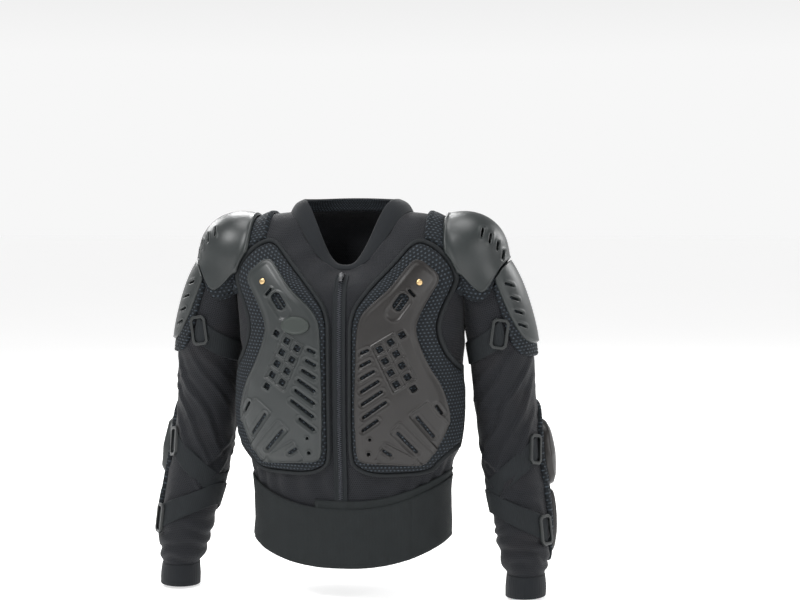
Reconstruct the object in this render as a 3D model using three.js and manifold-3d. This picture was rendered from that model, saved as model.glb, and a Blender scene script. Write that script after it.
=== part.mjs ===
// Armoured jacket: a hollow mesh jacket with foam pads, hard plates, straps, buckles and a waist belt.
// Millimetres, +Z up, chest towards -Y. The origin is the middle of the neck, level with the shoulders.
// The plus side is the wearer's left (+X); the minus side is its mirror image.

import * as THREE from "three";
import { ParametricGeometry } from "three/addons/geometries/ParametricGeometry.js";
import { mergeVertices } from "three/addons/utils/BufferGeometryUtils.js";
import Module from "manifold-3d";

// Driving dimensions of the trunk
const CHEST_HALF_WIDTH = 205;
const CHEST_FRONT = 126;
const CHEST_BACK = 112;
const TRUNK_HEIGHT = 600;
const FABRIC_WALL = 2.5;
const CORNER_FULLNESS = 2.35;

// Driving dimensions of the sleeves
const SLEEVE_RADIUS = 54;
const ARM_SPREAD = 262;
const ARM_LENGTH = 620;
const CUFF_HEIGHT = 34;
const CUFF_WALL = 3.5;

// Layers that lie on the fabric, each with its own thickness
const GAP = 0.3;
const PAD_THICKNESS = 9;
const PIPING_THICKNESS = 6;
const PIPING_WIDTH = 8;
const PLATE_THICKNESS = 3.6;
const PLATE_RISE = 3;
const RIVET_HEIGHT = 2.2;
const RIVET_RADIUS = 4;
const STRAP_THICKNESS = 2.2;
const STRAP_WIDTH = 40;
const BELT_THICKNESS = 3.4;

// Driving dimensions of the collar, the zip and the guards
const COLLAR_HEIGHT = 22;
const COLLAR_WALL = 3;
const ZIP_WIDTH = 22;
const ZIP_TAPE = 1.6;
const ZIP_TEETH_WIDTH = 7;
const CUP_WIDTH = 75;
const CUP_DEPTH = 72;
const CUP_HEIGHT = 70;
const CUP_WALL = 4;
const SHOULDER_FOAM = 7;
const SLOT_WIDTH = 5;
const SLOT_LENGTH = 17;
const ELBOW_BULGE = 18;
const BUCKLE_BAR = 5;

// Fineness of the faceted surfaces
const TRUNK_SIDES = 24;
const TRUNK_ROWS = 8;
const SLEEVE_SIDES = 12;
const SLEEVE_ROWS = 9;

const wasm = await Module();
wasm.setup();

// Rings of the trunk from the neck edge to the hem.
// side is a share of CHEST_HALF_WIDTH, front of CHEST_FRONT, back of CHEST_BACK, the drops of TRUNK_HEIGHT.
const TRUNK_RINGS = [
  { side: 0.52, front: 0.6, back: 0.55, dropSide: 0.0, dropFront: 0.165, dropBack: -0.005, vee: 3.4 },
  { side: 0.67, front: 0.73, back: 0.75, dropSide: 0.008, dropFront: 0.18, dropBack: 0.015, vee: 3 },
  { side: 0.82, front: 0.83, back: 0.9, dropSide: 0.035, dropFront: 0.195, dropBack: 0.045, vee: 2.6 },
  { side: 0.94, front: 0.9, back: 0.97, dropSide: 0.085, dropFront: 0.21, dropBack: 0.09, vee: 2.2 },
  { side: 1.0, front: 0.95, back: 1.0, dropSide: 0.16, dropFront: 0.235, dropBack: 0.16, vee: 2 },
  { side: 0.99, front: 0.98, back: 1.0, dropSide: 0.25, dropFront: 0.28, dropBack: 0.25, vee: 2 },
  { side: 0.96, front: 1.0, back: 0.99, dropSide: 0.35, dropFront: 0.36, dropBack: 0.35, vee: 2 },
  { side: 0.95, front: 1.0, back: 0.97, dropSide: 0.45, dropFront: 0.45, dropBack: 0.45, vee: 2 },
  { side: 0.965, front: 0.99, back: 0.93, dropSide: 0.56, dropFront: 0.56, dropBack: 0.56, vee: 2 },
  { side: 0.935, front: 0.95, back: 0.88, dropSide: 0.66, dropFront: 0.66, dropBack: 0.66, vee: 2 },
  { side: 0.855, front: 0.9, back: 0.85, dropSide: 0.735, dropFront: 0.74, dropBack: 0.735, vee: 2 },
  { side: 0.82, front: 0.88, back: 0.85, dropSide: 0.8, dropFront: 0.81, dropBack: 0.8, vee: 2 },
  { side: 0.82, front: 0.89, back: 0.87, dropSide: 0.9, dropFront: 0.91, dropBack: 0.9, vee: 2 },
  { side: 0.84, front: 0.93, back: 0.91, dropSide: 1.04, dropFront: 1.05, dropBack: 1.04, vee: 2 },
];

// Rings of a sleeve from inside the shoulder to the wrist.
// out is a share of ARM_SPREAD, down of ARM_LENGTH, across and deep of SLEEVE_RADIUS, fore of CHEST_FRONT.
// lean is the angle in degrees between the sleeve and the vertical.
const SLEEVE_RINGS = [
  { out: 0.57, down: 0.105, across: 0.88, deep: 0.98, fore: 0.0, lean: 72 },
  { out: 0.72, down: 0.122, across: 0.9, deep: 1.02, fore: 0.0, lean: 50 },
  { out: 0.845, down: 0.185, across: 0.94, deep: 1.06, fore: -0.02, lean: 28 },
  { out: 0.925, down: 0.265, across: 0.98, deep: 1.1, fore: -0.05, lean: 15 },
  { out: 0.99, down: 0.39, across: 1.04, deep: 1.12, fore: -0.1, lean: 6 },
  { out: 1.015, down: 0.52, across: 1.0, deep: 1.06, fore: -0.16, lean: 4 },
  { out: 1.055, down: 0.67, across: 0.97, deep: 1.0, fore: -0.16, lean: 6 },
  { out: 1.1, down: 0.775, across: 0.93, deep: 0.95, fore: -0.08, lean: 7 },
  { out: 1.14, down: 0.87, across: 0.86, deep: 0.88, fore: 0.04, lean: 5 },
  { out: 1.16, down: 0.96, across: 0.72, deep: 0.74, fore: 0.14, lean: 3 },
  { out: 1.17, down: 1.0, across: 0.6, deep: 0.64, fore: 0.18, lean: 2 },
  { out: 1.17, down: 1.06, across: 0.62, deep: 0.66, fore: 0.22, lean: 2 },
];

// Value of one column of a table at a row between two whole rows, on a smooth curve.
function column(rows, name, at) {
  const last = rows.length - 1;
  const low = Math.min(Math.max(Math.floor(at), 0), last - 1);
  const share = at - low;
  const value = (i) => rows[Math.min(Math.max(i, 0), last)][name];
  const [before, from, to, after] = [value(low - 1), value(low), value(low + 1), value(low + 2)];
  const slopeFrom = (to - before) / 2;
  const slopeTo = (after - from) / 2;
  const [s2, s3] = [share ** 2, share ** 3];
  const start = from * (2 * s3 - 3 * s2 + 1) + slopeFrom * (s3 - 2 * s2 + share);
  const end = to * (3 * s2 - 2 * s3) + slopeTo * (s3 - s2);
  return start + end;
}

// Point of the trunk's outer face: around in turns from the wearer's left through the back, at in rows.
function trunkPoint(around, at) {
  const angle = around * 2 * Math.PI;
  const [cosine, sine] = [Math.cos(angle), Math.sin(angle)];
  const ring = (name) => column(TRUNK_RINGS, name, at);
  const power = 2 / CORNER_FULLNESS;
  const wide = Math.sign(cosine) * Math.abs(cosine) ** power;
  const deep = Math.sign(sine) * Math.abs(sine) ** power;
  const depth = sine < 0 ? CHEST_FRONT * ring("front") : CHEST_BACK * ring("back");
  const dropMiddle = sine < 0 ? ring("dropFront") : ring("dropBack");
  const middleShare = Math.abs(sine) ** ring("vee");
  const drop = ring("dropSide") * (1 - middleShare) + dropMiddle * middleShare;
  const x = CHEST_HALF_WIDTH * ring("side") * wide;
  return new THREE.Vector3(x, depth * deep, -TRUNK_HEIGHT * drop);
}

// Point of the plus-side sleeve's outer face: around in turns from the outer side through the back.
function sleevePoint(around, at) {
  const angle = around * 2 * Math.PI;
  const ring = (name) => column(SLEEVE_RINGS, name, at);
  const lean = THREE.MathUtils.degToRad(ring("lean"));
  const across = SLEEVE_RADIUS * ring("across") * Math.cos(angle);
  const x = ARM_SPREAD * ring("out") + across * Math.cos(lean);
  const y = -CHEST_FRONT * ring("fore") + SLEEVE_RADIUS * ring("deep") * Math.sin(angle);
  const z = -ARM_LENGTH * ring("down") + across * Math.sin(lean);
  return new THREE.Vector3(x, y, z);
}

// The same surface lifted off itself along its normal.
function lifted(surface, around, at, lift) {
  const step = 0.01;
  const point = surface(around, at);
  const alongRing = surface(around + step, at).sub(surface(around - step, at));
  const downwards = surface(around, at + step).sub(surface(around, at - step));
  const normal = downwards.cross(alongRing).normalize();
  return point.addScaledVector(normal, lift);
}

// A closed mesh as a solid for joining and cutting.
function solidOf(geometry) {
  const bare = new THREE.BufferGeometry();
  bare.setAttribute("position", geometry.getAttribute("position"));
  bare.setIndex(geometry.index);
  const merged = mergeVertices(bare, 1e-3);
  const corners = merged.index.array;
  const kept = [];
  for (let i = 0; i < corners.length; i += 3) {
    const [a, b, c] = corners.slice(i, i + 3);
    if (a !== b && b !== c && c !== a) kept.push(a, b, c);
  }
  const vertProperties = new Float32Array(merged.getAttribute("position").array);
  const build = (list) =>
    new wasm.Manifold(new wasm.Mesh({ numProp: 3, vertProperties, triVerts: new Uint32Array(list) }));
  const made = build(kept);
  return made.volume() < 0 ? build(kept.reverse()) : made;
}

// A solid as a geometry.
function geometryOf(solid) {
  const { vertProperties, triVerts } = solid.getMesh();
  const geometry = new THREE.BufferGeometry();
  geometry.setAttribute("position", new THREE.BufferAttribute(vertProperties, 3));
  geometry.setIndex(new THREE.BufferAttribute(triVerts, 1));
  geometry.computeVertexNormals();
  return geometry;
}

// Row number of a table at which a column reaches a value that grows from row to row.
function rowAt(rows, name, value) {
  let [low, high] = [0, rows.length - 1];
  for (let i = 0; i < 40; i += 1) {
    const middle = (low + high) / 2;
    if (column(rows, name, middle) < value) low = middle;
    else high = middle;
  }
  return (low + high) / 2;
}

const trunk = { point: trunkPoint, rings: TRUNK_RINGS, sides: TRUNK_SIDES, rows: TRUNK_ROWS };
const sleeve = { point: sleevePoint, rings: SLEEVE_RINGS, sides: SLEEVE_SIDES, rows: SLEEVE_ROWS };

// A hollow wall all the way round, between two lifts and two rows. edges gives the rows at a turn.
function wall(form, low, high, edges = () => [0, form.rings.length - 1]) {
  const half = form.rows + 1;
  const place = (u, v, target) => {
    const step = Math.round(v * 2 * half) % (2 * half);
    const outside = step < half;
    const share = (outside ? step : 2 * half - 1 - step) / form.rows;
    const [from, to] = edges(u % 1);
    const row = from + (to - from) * share;
    target.copy(lifted(form.point, u % 1, row, outside ? high : low));
  };
  return solidOf(new ParametricGeometry(place, form.sides, 2 * half));
}

// The filled form out to a lift.
function filled(form, lift) {
  const last = form.rings.length - 1;
  const stacks = form.rows + 2;
  const centre = (row) => form.point(0, row).add(form.point(0.5, row)).multiplyScalar(0.5);
  const place = (u, v, target) => {
    const step = Math.round(v * stacks);
    if (step === 0) target.copy(centre(0));
    else if (step === stacks) target.copy(centre(last));
    else target.copy(lifted(form.point, u % 1, (last * (step - 1)) / form.rows, lift));
  };
  return solidOf(new ParametricGeometry(place, form.sides, stacks));
}

// A prism of an outline of [x, z] points between two depths along Y.
function prism(points, fromY, toY) {
  const shape = new THREE.Shape(points.map(([x, z]) => new THREE.Vector2(x, z)));
  const body = new THREE.ExtrudeGeometry(shape, { depth: toY - fromY, bevelEnabled: false });
  return solidOf(body.rotateX(Math.PI / 2).translate(0, toY, 0));
}

// A prism of an outline of [y, z] points across the whole width.
function sidePrism(points) {
  const reach = 2 * CHEST_HALF_WIDTH;
  const shape = new THREE.Shape(points.map(([y, z]) => new THREE.Vector2(y, z)));
  const body = new THREE.ExtrudeGeometry(shape, { depth: 2 * reach, bevelEnabled: false });
  return solidOf(body.rotateX(Math.PI / 2).rotateZ(Math.PI / 2).translate(-reach, 0, 0));
}

const REACH = 3 * CHEST_FRONT;
const SIDE_SEAM = -0.2 * CHEST_FRONT;
const frontPrism = (points, toY = SIDE_SEAM) => prism(points, -REACH, toY);
const backPrism = (points) => prism(points, -SIDE_SEAM, REACH);

// Outline points in millimetres from rows of shares of the chest's half width and the trunk's height.
const outline = (rows) => rows.map(({ across, down }) => [across * CHEST_HALF_WIDTH, -down * TRUNK_HEIGHT]);
const mirroredRows = (rows) =>
  rows
    .filter(({ across }) => across > 0)
    .reverse()
    .map(({ across, down }) => ({ across: -across, down }));
const twoSided = (rows) => outline([...rows, ...mirroredRows(rows)]);

// The outline moved inwards by a width, corner by corner.
function inset(points, width) {
  const area = points.reduce((sum, [x, z], i) => {
    const [nextX, nextZ] = points[(i + 1) % points.length];
    return sum + x * nextZ - nextX * z;
  }, 0);
  const inward = area > 0 ? 1 : -1;
  const normal = (a, b) => new THREE.Vector2(a[1] - b[1], b[0] - a[0]).normalize().multiplyScalar(inward);
  return points.map((point, i) => {
    const before = points[(i + points.length - 1) % points.length];
    const after = points[(i + 1) % points.length];
    const first = normal(before, point);
    const second = normal(point, after);
    const middle = first.clone().add(second);
    middle.multiplyScalar(width / Math.max(1 + first.dot(second), 0.6));
    return [point[0] + middle.x, point[1] + middle.y];
  });
}

// A slot's or window's outline: a rectangle turned in degrees.
function slotOutline(x, z, length, width, degrees) {
  const turn = THREE.MathUtils.degToRad(degrees);
  const [halfLength, halfWidth] = [length / 2, width / 2];
  const corners = [
    [-halfLength, -halfWidth],
    [halfLength, -halfWidth],
    [halfLength, halfWidth],
    [-halfLength, halfWidth],
  ];
  return corners.map(([a, b]) => [
    x + a * Math.cos(turn) - b * Math.sin(turn),
    z + a * Math.sin(turn) + b * Math.cos(turn),
  ]);
}

// A regular outline round a point.
function roundOutline(x, z, radiusX, radiusZ, sides) {
  return Array.from({ length: sides }, (_, i) => {
    const angle = (i / sides) * 2 * Math.PI;
    return [x + radiusX * Math.cos(angle), z + radiusZ * Math.sin(angle)];
  });
}

// A closed patch of a lifted form. turns, row and lifts give its place at shares of its width and run.
function patch(form, columns, steps, { turns, row, lifts }) {
  const box = new THREE.BoxGeometry(1, 1, 1, columns, steps, 1);
  const place = box.getAttribute("position");
  for (let i = 0; i < place.count; i += 1) {
    const u = place.getX(i) + 0.5;
    const v = place.getY(i) + 0.5;
    const [from, to] = turns(v, u);
    const [low, high] = lifts(u, v);
    const lift = place.getZ(i) > 0 ? high : low;
    const point = lifted(form.point, from + (to - from) * u, row(v, u), lift);
    place.setXYZ(i, point.x, point.y, point.z);
  }
  return solidOf(box);
}

// A frame of axes on a lifted form: along the ring, down the form and outwards.
function seat(form, around, at, lift) {
  const step = 0.01;
  const origin = lifted(form.point, around, at, lift);
  const down = form.point(around, at + step).sub(form.point(around, at - step)).normalize();
  const outward = lifted(form.point, around, at, lift + 1).sub(origin).normalize();
  const along = down.clone().cross(outward).normalize();
  return new THREE.Matrix4().makeBasis(along, down, outward).setPosition(origin);
}

// Outlines of the chest pad and its hard plate on the plus side, from the collar end round.
const CHEST_PAD = [
  { across: 0.676, down: 0.072 },
  { across: 0.556, down: 0.078 },
  { across: 0.42, down: 0.138 },
  { across: 0.19, down: 0.223 },
  { across: 0.073, down: 0.285 },
  { across: 0.07, down: 0.69 },
  { across: 0.11, down: 0.722 },
  { across: 0.259, down: 0.745 },
  { across: 0.74, down: 0.742 },
  { across: 0.81, down: 0.705 },
  { across: 1.08, down: 0.64 },
  { across: 1.15, down: 0.56 },
  { across: 1.12, down: 0.485 },
  { across: 0.93, down: 0.43 },
  { across: 0.81, down: 0.35 },
  { across: 0.82, down: 0.29 },
  { across: 0.95, down: 0.2 },
  { across: 0.94, down: 0.165 },
  { across: 0.85, down: 0.112 },
];
const CHEST_PLATE = [
  { across: 0.615, down: 0.12 },
  { across: 0.405, down: 0.215 },
  { across: 0.302, down: 0.245 },
  { across: 0.185, down: 0.283 },
  { across: 0.151, down: 0.322 },
  { across: 0.13, down: 0.547 },
  { across: 0.143, down: 0.682 },
  { across: 0.18, down: 0.702 },
  { across: 0.676, down: 0.713 },
  { across: 0.727, down: 0.698 },
  { across: 0.837, down: 0.64 },
  { across: 0.9, down: 0.583 },
  { across: 0.833, down: 0.488 },
  { across: 0.727, down: 0.428 },
  { across: 0.635, down: 0.35 },
  { across: 0.628, down: 0.307 },
  { across: 0.727, down: 0.238 },
  { across: 0.833, down: 0.18 },
];

// Slots of the chest plate: length is a share of VENT_LENGTH, turn is in degrees.
const VENT_LENGTH = 48;
const WINDOW_LENGTH = 34;
const WINDOW_WIDTH = 15;
const CHEST_VENTS = [
  { across: 0.614, down: 0.203, length: 0.3, turn: 60 },
  { across: 0.238, down: 0.382, length: 0.3, turn: 25 },
  { across: 0.244, down: 0.415, length: 0.42, turn: 28 },
  { across: 0.262, down: 0.446, length: 0.55, turn: 30 },
  { across: 0.28, down: 0.479, length: 0.75, turn: 33 },
  { across: 0.296, down: 0.511, length: 0.88, turn: 34 },
  { across: 0.317, down: 0.544, length: 1.0, turn: 35 },
  { across: 0.276, down: 0.589, length: 0.7, turn: 36 },
  { across: 0.8, down: 0.55, length: 0.4, turn: -58 },
  { across: 0.7, down: 0.597, length: 0.96, turn: -53 },
  { across: 0.556, down: 0.64, length: 1.0, turn: -48 },
  { across: 0.395, down: 0.669, length: 0.35, turn: -34 },
];

// Square holes of the chest plate: column 0 is nearest the zip.
const HOLE_SIZE = 11.5;
const HOLE_TURN = 32;
const HOLE_FIRST = { across: 0.37, down: 0.37 };
const HOLE_STEP = { across: 0.088, down: -0.02 };
const HOLE_ROW = { across: 0.044, down: 0.0325 };
const HOLE_CELLS = [[0, 1, 2], [0, 1], [0, 1], [0, 1], [1]];

// Outlines of the back, plus side only, from the spine round.
const BACK_PAD = [
  { across: 0, down: 0.024 },
  { across: 0.25, down: 0.028 },
  { across: 0.5, down: 0.042 },
  { across: 0.72, down: 0.08 },
  { across: 0.82, down: 0.14 },
  { across: 0.81, down: 0.207 },
  { across: 0.77, down: 0.312 },
  { across: 0.82, down: 0.388 },
  { across: 0.86, down: 0.473 },
  { across: 0.86, down: 0.6 },
  { across: 0.76, down: 0.72 },
  { across: 0.52, down: 0.92 },
  { across: 0.45, down: 0.94 },
  { across: 0, down: 0.945 },
];
const NECK_FLANGE = [
  { across: 0, down: 0.04 },
  { across: 0.15, down: 0.07 },
  { across: 0.265, down: 0.135 },
  { across: 0.275, down: 0.175 },
  { across: 0.24, down: 0.196 },
];
const WING_PLATE = [
  { across: 0.275, down: 0.204 },
  { across: 0.52, down: 0.098 },
  { across: 0.57, down: 0.098 },
  { across: 0.745, down: 0.14 },
  { across: 0.556, down: 0.275 },
  { across: 0.473, down: 0.315 },
  { across: 0.335, down: 0.323 },
];
const WING_PANEL = [
  { across: 0.345, down: 0.212 },
  { across: 0.345, down: 0.318 },
];
const KIDNEY_PLATE = [
  { across: 0.48, down: 0.46 },
  { across: 0.56, down: 0.455 },
  { across: 0.795, down: 0.485 },
  { across: 0.75, down: 0.667 },
  { across: 0.48, down: 0.703 },
];

// Heights of the layers on the chest and on the back
const BACK_PAD_THICKNESS = 14;
const chestPadTop = PAD_THICKNESS;
const chestPlateLow = chestPadTop + GAP;
const chestPlateTop = chestPlateLow + PLATE_THICKNESS;
const backPlateLow = BACK_PAD_THICKNESS + GAP;
const backPlateTop = backPlateLow + PLATE_THICKNESS;
const beltLow = GAP + STRAP_THICKNESS + GAP;
const beltTop = beltLow + BELT_THICKNESS;

const join = (solids) => solids.reduce((whole, next) => whole.add(next));
const mirror = (solid) => solidOf(geometryOf(solid).scale(-1, 1, 1));

// Pieces of both sides are made on the plus side. For the minus side the trunk is turned round first,
// so that its facets match once the piece is mirrored back.
let side = 1;

// The filled trunk and the filled sleeve out to a lift, each made once.
const kept = new Map();
function lookUp(name, lift, make) {
  const key = `${name} ${lift.toFixed(2)}`;
  if (!kept.has(key)) kept.set(key, make());
  return kept.get(key);
}
const trunkTo = (lift) =>
  lookUp(`trunk ${side}`, lift, () => (side > 0 ? filled(trunk, lift) : mirror(filled(trunk, lift))));
const sleeveTo = (lift) => lookUp("sleeve", lift, () => filled(sleeve, lift));

// A layer between two lifts, cut to a shape.
const trunkLayer = (low, high, cut) => trunkTo(high).intersect(cut).subtract(trunkTo(low));
const sleeveLayer = (low, high, cut) => sleeveTo(high).intersect(cut).subtract(sleeveTo(low));

// Mesh fabric: the trunk with its armholes, and one sleeve.
const FABRIC_HEM = 0.93;
const above = (z) => prism([[-REACH, z], [REACH, z], [REACH, REACH], [-REACH, REACH]], -REACH, REACH);
function meshTrunk() {
  const body = wall(trunk, -FABRIC_WALL, 0).intersect(above(-FABRIC_HEM * TRUNK_HEIGHT));
  const armhole = sleeveTo(-FABRIC_WALL - GAP);
  return body.subtract(armhole).subtract(mirror(armhole));
}

const cuffTop = -(SLEEVE_RINGS.at(-1).down * ARM_LENGTH - CUFF_HEIGHT);
const meshSleeve = () => wall(sleeve, -FABRIC_WALL, 0).intersect(above(cuffTop + GAP)).subtract(trunkTo(GAP));
const cuff = () => wall(sleeve, -FABRIC_WALL, CUFF_WALL - FABRIC_WALL).subtract(above(cuffTop));

// The collar stands on the neck edge and leans inwards to its rim.
function collar() {
  const rim = { side: 0.4, front: 0.52, back: 0.47, vee: 5 };
  const rise = COLLAR_HEIGHT / TRUNK_HEIGHT;
  const base = TRUNK_RINGS[0];
  const middle = {
    side: (rim.side + base.side) / 2 + 0.01,
    front: (rim.front + base.front) / 2,
    back: (rim.back + base.back) / 2 + 0.01,
    dropSide: -rise * 0.62,
    dropFront: base.dropFront - 0.01,
    dropBack: -rise * 0.6,
    vee: 4.2,
  };
  const top = { ...rim, dropSide: -rise, dropFront: base.dropFront - 0.012, dropBack: -rise * 1.1 };
  const rings = [top, middle, base];
  const ringPoint = (around, at) => {
    const angle = around * 2 * Math.PI;
    const [cosine, sine] = [Math.cos(angle), Math.sin(angle)];
    const ring = (name) => column(rings, name, at);
    const depth = sine < 0 ? CHEST_FRONT * ring("front") : CHEST_BACK * ring("back");
    const dropMiddle = sine < 0 ? ring("dropFront") : ring("dropBack");
    const share = Math.abs(sine) ** ring("vee");
    const drop = ring("dropSide") * (1 - share) + dropMiddle * share;
    const power = 2 / CORNER_FULLNESS;
    const wide = Math.sign(cosine) * Math.abs(cosine) ** power;
    const deep = Math.sign(sine) * Math.abs(sine) ** power;
    return new THREE.Vector3(CHEST_HALF_WIDTH * ring("side") * wide, depth * deep, -TRUNK_HEIGHT * drop);
  };
  const form = { point: ringPoint, rings, sides: TRUNK_SIDES, rows: 2 };
  const clear = wall(trunk, -FABRIC_WALL - GAP, GAP, () => [0, 1]);
  return wall(form, -FABRIC_WALL, COLLAR_WALL - FABRIC_WALL).subtract(clear);
}

// Chest pad, piping and plate of the plus side.
const padPoints = outline(CHEST_PAD);
const padInner = inset(padPoints, PIPING_WIDTH);
const notSleeve = (solid) => solid.subtract(sleeveTo(GAP));
const chestPad = () => notSleeve(trunkLayer(GAP, chestPadTop, frontPrism(inset(padPoints, PIPING_WIDTH + GAP))));
const chestPiping = () =>
  notSleeve(trunkLayer(GAP, PIPING_THICKNESS, frontPrism(padPoints).subtract(frontPrism(padInner, 0))));

const CHEST_WINDOW = { across: 0.532, down: 0.24, turn: 55 };
const QUARTER_TURN = Math.PI / 2;
function chestHoles() {
  const vents = CHEST_VENTS.map(({ across, down, length, turn }) => {
    const [x, z] = [across * CHEST_HALF_WIDTH, -down * TRUNK_HEIGHT];
    return slotOutline(x, z, length * VENT_LENGTH, SLOT_WIDTH, turn);
  });
  const squares = HOLE_CELLS.flatMap((cells, row) =>
    cells.map((cell) => {
      const across = HOLE_FIRST.across + cell * HOLE_STEP.across + row * HOLE_ROW.across;
      const down = HOLE_FIRST.down + cell * HOLE_STEP.down + row * HOLE_ROW.down;
      const ring = roundOutline(0, 0, HOLE_SIZE / Math.SQRT2, HOLE_SIZE / Math.SQRT2, 4);
      const turn = THREE.MathUtils.degToRad(HOLE_TURN) + QUARTER_TURN / 2;
      return ring.map(([a, b]) => [
        across * CHEST_HALF_WIDTH + a * Math.cos(turn) - b * Math.sin(turn),
        -down * TRUNK_HEIGHT + a * Math.sin(turn) + b * Math.cos(turn),
      ]);
    }),
  );
  const opening = slotOutline(
    CHEST_WINDOW.across * CHEST_HALF_WIDTH,
    -CHEST_WINDOW.down * TRUNK_HEIGHT,
    WINDOW_LENGTH,
    WINDOW_WIDTH,
    CHEST_WINDOW.turn,
  );
  return join([...vents, ...squares, opening].map((points) => frontPrism(points)));
}

const chestPlate = () =>
  trunkLayer(chestPlateLow, chestPlateTop, frontPrism(outline(CHEST_PLATE))).subtract(chestHoles());

// A rivet head that follows the form, at shares of the trunk's width and height.
function disc({ across, down }, low, cutter) {
  const points = roundOutline(across * CHEST_HALF_WIDTH, -down * TRUNK_HEIGHT, RIVET_RADIUS, RIVET_RADIUS, 8);
  return trunkLayer(low, low + RIVET_HEIGHT, cutter(points));
}
const CHEST_RIVET = { across: 0.69, down: 0.165 };
const chestRivet = () => disc(CHEST_RIVET, chestPlateTop + GAP, frontPrism);

const BADGE_LENGTH = 47;
const BADGE_HEIGHT = 29;
const BADGE_THICKNESS = 1.2;
const BADGE_PLACE = { across: -0.39, down: 0.305 };
function ovalBadge() {
  const [x, z] = [BADGE_PLACE.across * CHEST_HALF_WIDTH, -BADGE_PLACE.down * TRUNK_HEIGHT];
  const points = roundOutline(x, z, BADGE_LENGTH / 2, BADGE_HEIGHT / 2, 20);
  return trunkLayer(chestPlateTop + GAP, chestPlateTop + GAP + BADGE_THICKNESS, frontPrism(points));
}

// The zip: a tape with a raised row of teeth, and the slider on it.
const ZIP_TOP = 0.175;
const ZIP_FOOT = 0.815;
const ZIP_MARGIN = 0.005;
const PULL_PLACE = { top: 0.01, foot: 0.05 };
const PULL_WIDTH = 10;
const PULL_THICKNESS = 2.7;
const SINK = 0.5;
const zipTop = GAP + ZIP_TAPE;
const zipPoints = (halfWidth, from, to) => [
  [-halfWidth, -from * TRUNK_HEIGHT],
  [-halfWidth, -to * TRUNK_HEIGHT],
  [halfWidth, -to * TRUNK_HEIGHT],
  [halfWidth, -from * TRUNK_HEIGHT],
];
const zipBand = (halfWidth, low, high, from, to) => trunkLayer(low, high, frontPrism(zipPoints(halfWidth, from, to)));
const teethTop = zipTop + ZIP_TAPE;
const zip = () =>
  zipBand(ZIP_WIDTH / 2, GAP, zipTop, ZIP_TOP, ZIP_FOOT).add(
    zipBand(ZIP_TEETH_WIDTH / 2, zipTop - SINK, teethTop, ZIP_TOP + ZIP_MARGIN, ZIP_FOOT - ZIP_MARGIN),
  );
function zipPull() {
  const [low, high] = [teethTop + GAP, teethTop + GAP + PULL_THICKNESS];
  return zipBand(PULL_WIDTH / 2, low, high, ZIP_TOP + PULL_PLACE.top, ZIP_TOP + PULL_PLACE.foot);
}

// The waist belt is a band of the trunk's form. Heights are shares of TRUNK_HEIGHT at the front, side and back.
const BELT_TOP = { front: 0.835, side: 0.76, back: 0.745 };
const BELT_HEM = { front: 1.003, side: 0.94, back: 0.97 };

// Rows of the trunk at the belt's two edges, at a turn.
function beltEdges(around, raise = 0) {
  const sine = Math.sin(around * 2 * Math.PI);
  const middle = sine < 0 ? "front" : "back";
  const share = Math.abs(sine) ** 2;
  const column = sine < 0 ? "dropFront" : "dropBack";
  return [BELT_TOP, BELT_HEM].map((edge) => {
    const down = edge.side * (1 - share) + edge[middle] * share - raise / TRUNK_HEIGHT;
    return rowAt(TRUNK_RINGS, column, down);
  });
}
const BELT_REACH = { inwards: 20, outwards: 30 };
function beltBand(raise = 0) {
  const form = { ...trunk, rows: 1 };
  return wall(form, -BELT_REACH.inwards, BELT_REACH.outwards, (around) => beltEdges(around, raise));
}
const kidneyBelt = () => trunkLayer(beltLow, beltTop, beltBand());

// The under layer of the belt shows above its front edge, from the zip to the plus side.
const OVERLAP_SHOWN = 13;
const OVERLAP_START = 0.06;
const BEYOND = 1.2;
function beltOverlap() {
  const left = OVERLAP_START * CHEST_HALF_WIDTH;
  const [right, foot] = [BEYOND * CHEST_HALF_WIDTH, -BEYOND * TRUNK_HEIGHT];
  const half = prism([[left, foot], [right, foot], [right, 0], [left, 0]], -REACH, 0);
  const zipBody = prism(zipPoints(ZIP_WIDTH / 2 + GAP, 0, BEYOND), -REACH, 0);
  return trunkLayer(GAP, GAP + STRAP_THICKNESS, beltBand(OVERLAP_SHOWN)).intersect(half).subtract(zipBody);
}

// Back pieces, all symmetric about the spine but the kidney plates.
const backPoints = twoSided(BACK_PAD);
const BACK_PIPING_THICKNESS = BACK_PAD_THICKNESS - 2;
const belt = () => trunkTo(beltTop + GAP).intersect(beltBand(GAP).add(beltBand(-GAP)));
const backPad = () =>
  trunkLayer(GAP, BACK_PAD_THICKNESS, backPrism(inset(backPoints, PIPING_WIDTH + GAP))).subtract(belt());
function backPiping() {
  const edge = backPrism(backPoints).subtract(backPrism(inset(backPoints, PIPING_WIDTH)));
  return trunkLayer(GAP, BACK_PIPING_THICKNESS, edge).subtract(belt()).subtract(sleeveTo(GAP));
}

const DOME_RISE = 15;
const DOME = { down: 0.143, across: 0.2, tall: 0.068 };
const SPINE_TURN = 0.25;
function neckFlange() {
  return trunkLayer(backPlateLow, backPlateTop, backPrism(twoSided(NECK_FLANGE)));
}
function neckDome() {
  const at = rowAt(TRUNK_RINGS, "dropBack", DOME.down);
  const matrix = seat(trunk, SPINE_TURN, at, backPlateTop);
  const dome = new THREE.SphereGeometry(1, 12, 6);
  dome.scale(DOME.across * CHEST_HALF_WIDTH, DOME.tall * TRUNK_HEIGHT, DOME_RISE).applyMatrix4(matrix);
  return solidOf(dome).subtract(trunkTo(backPlateTop + GAP));
}

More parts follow.
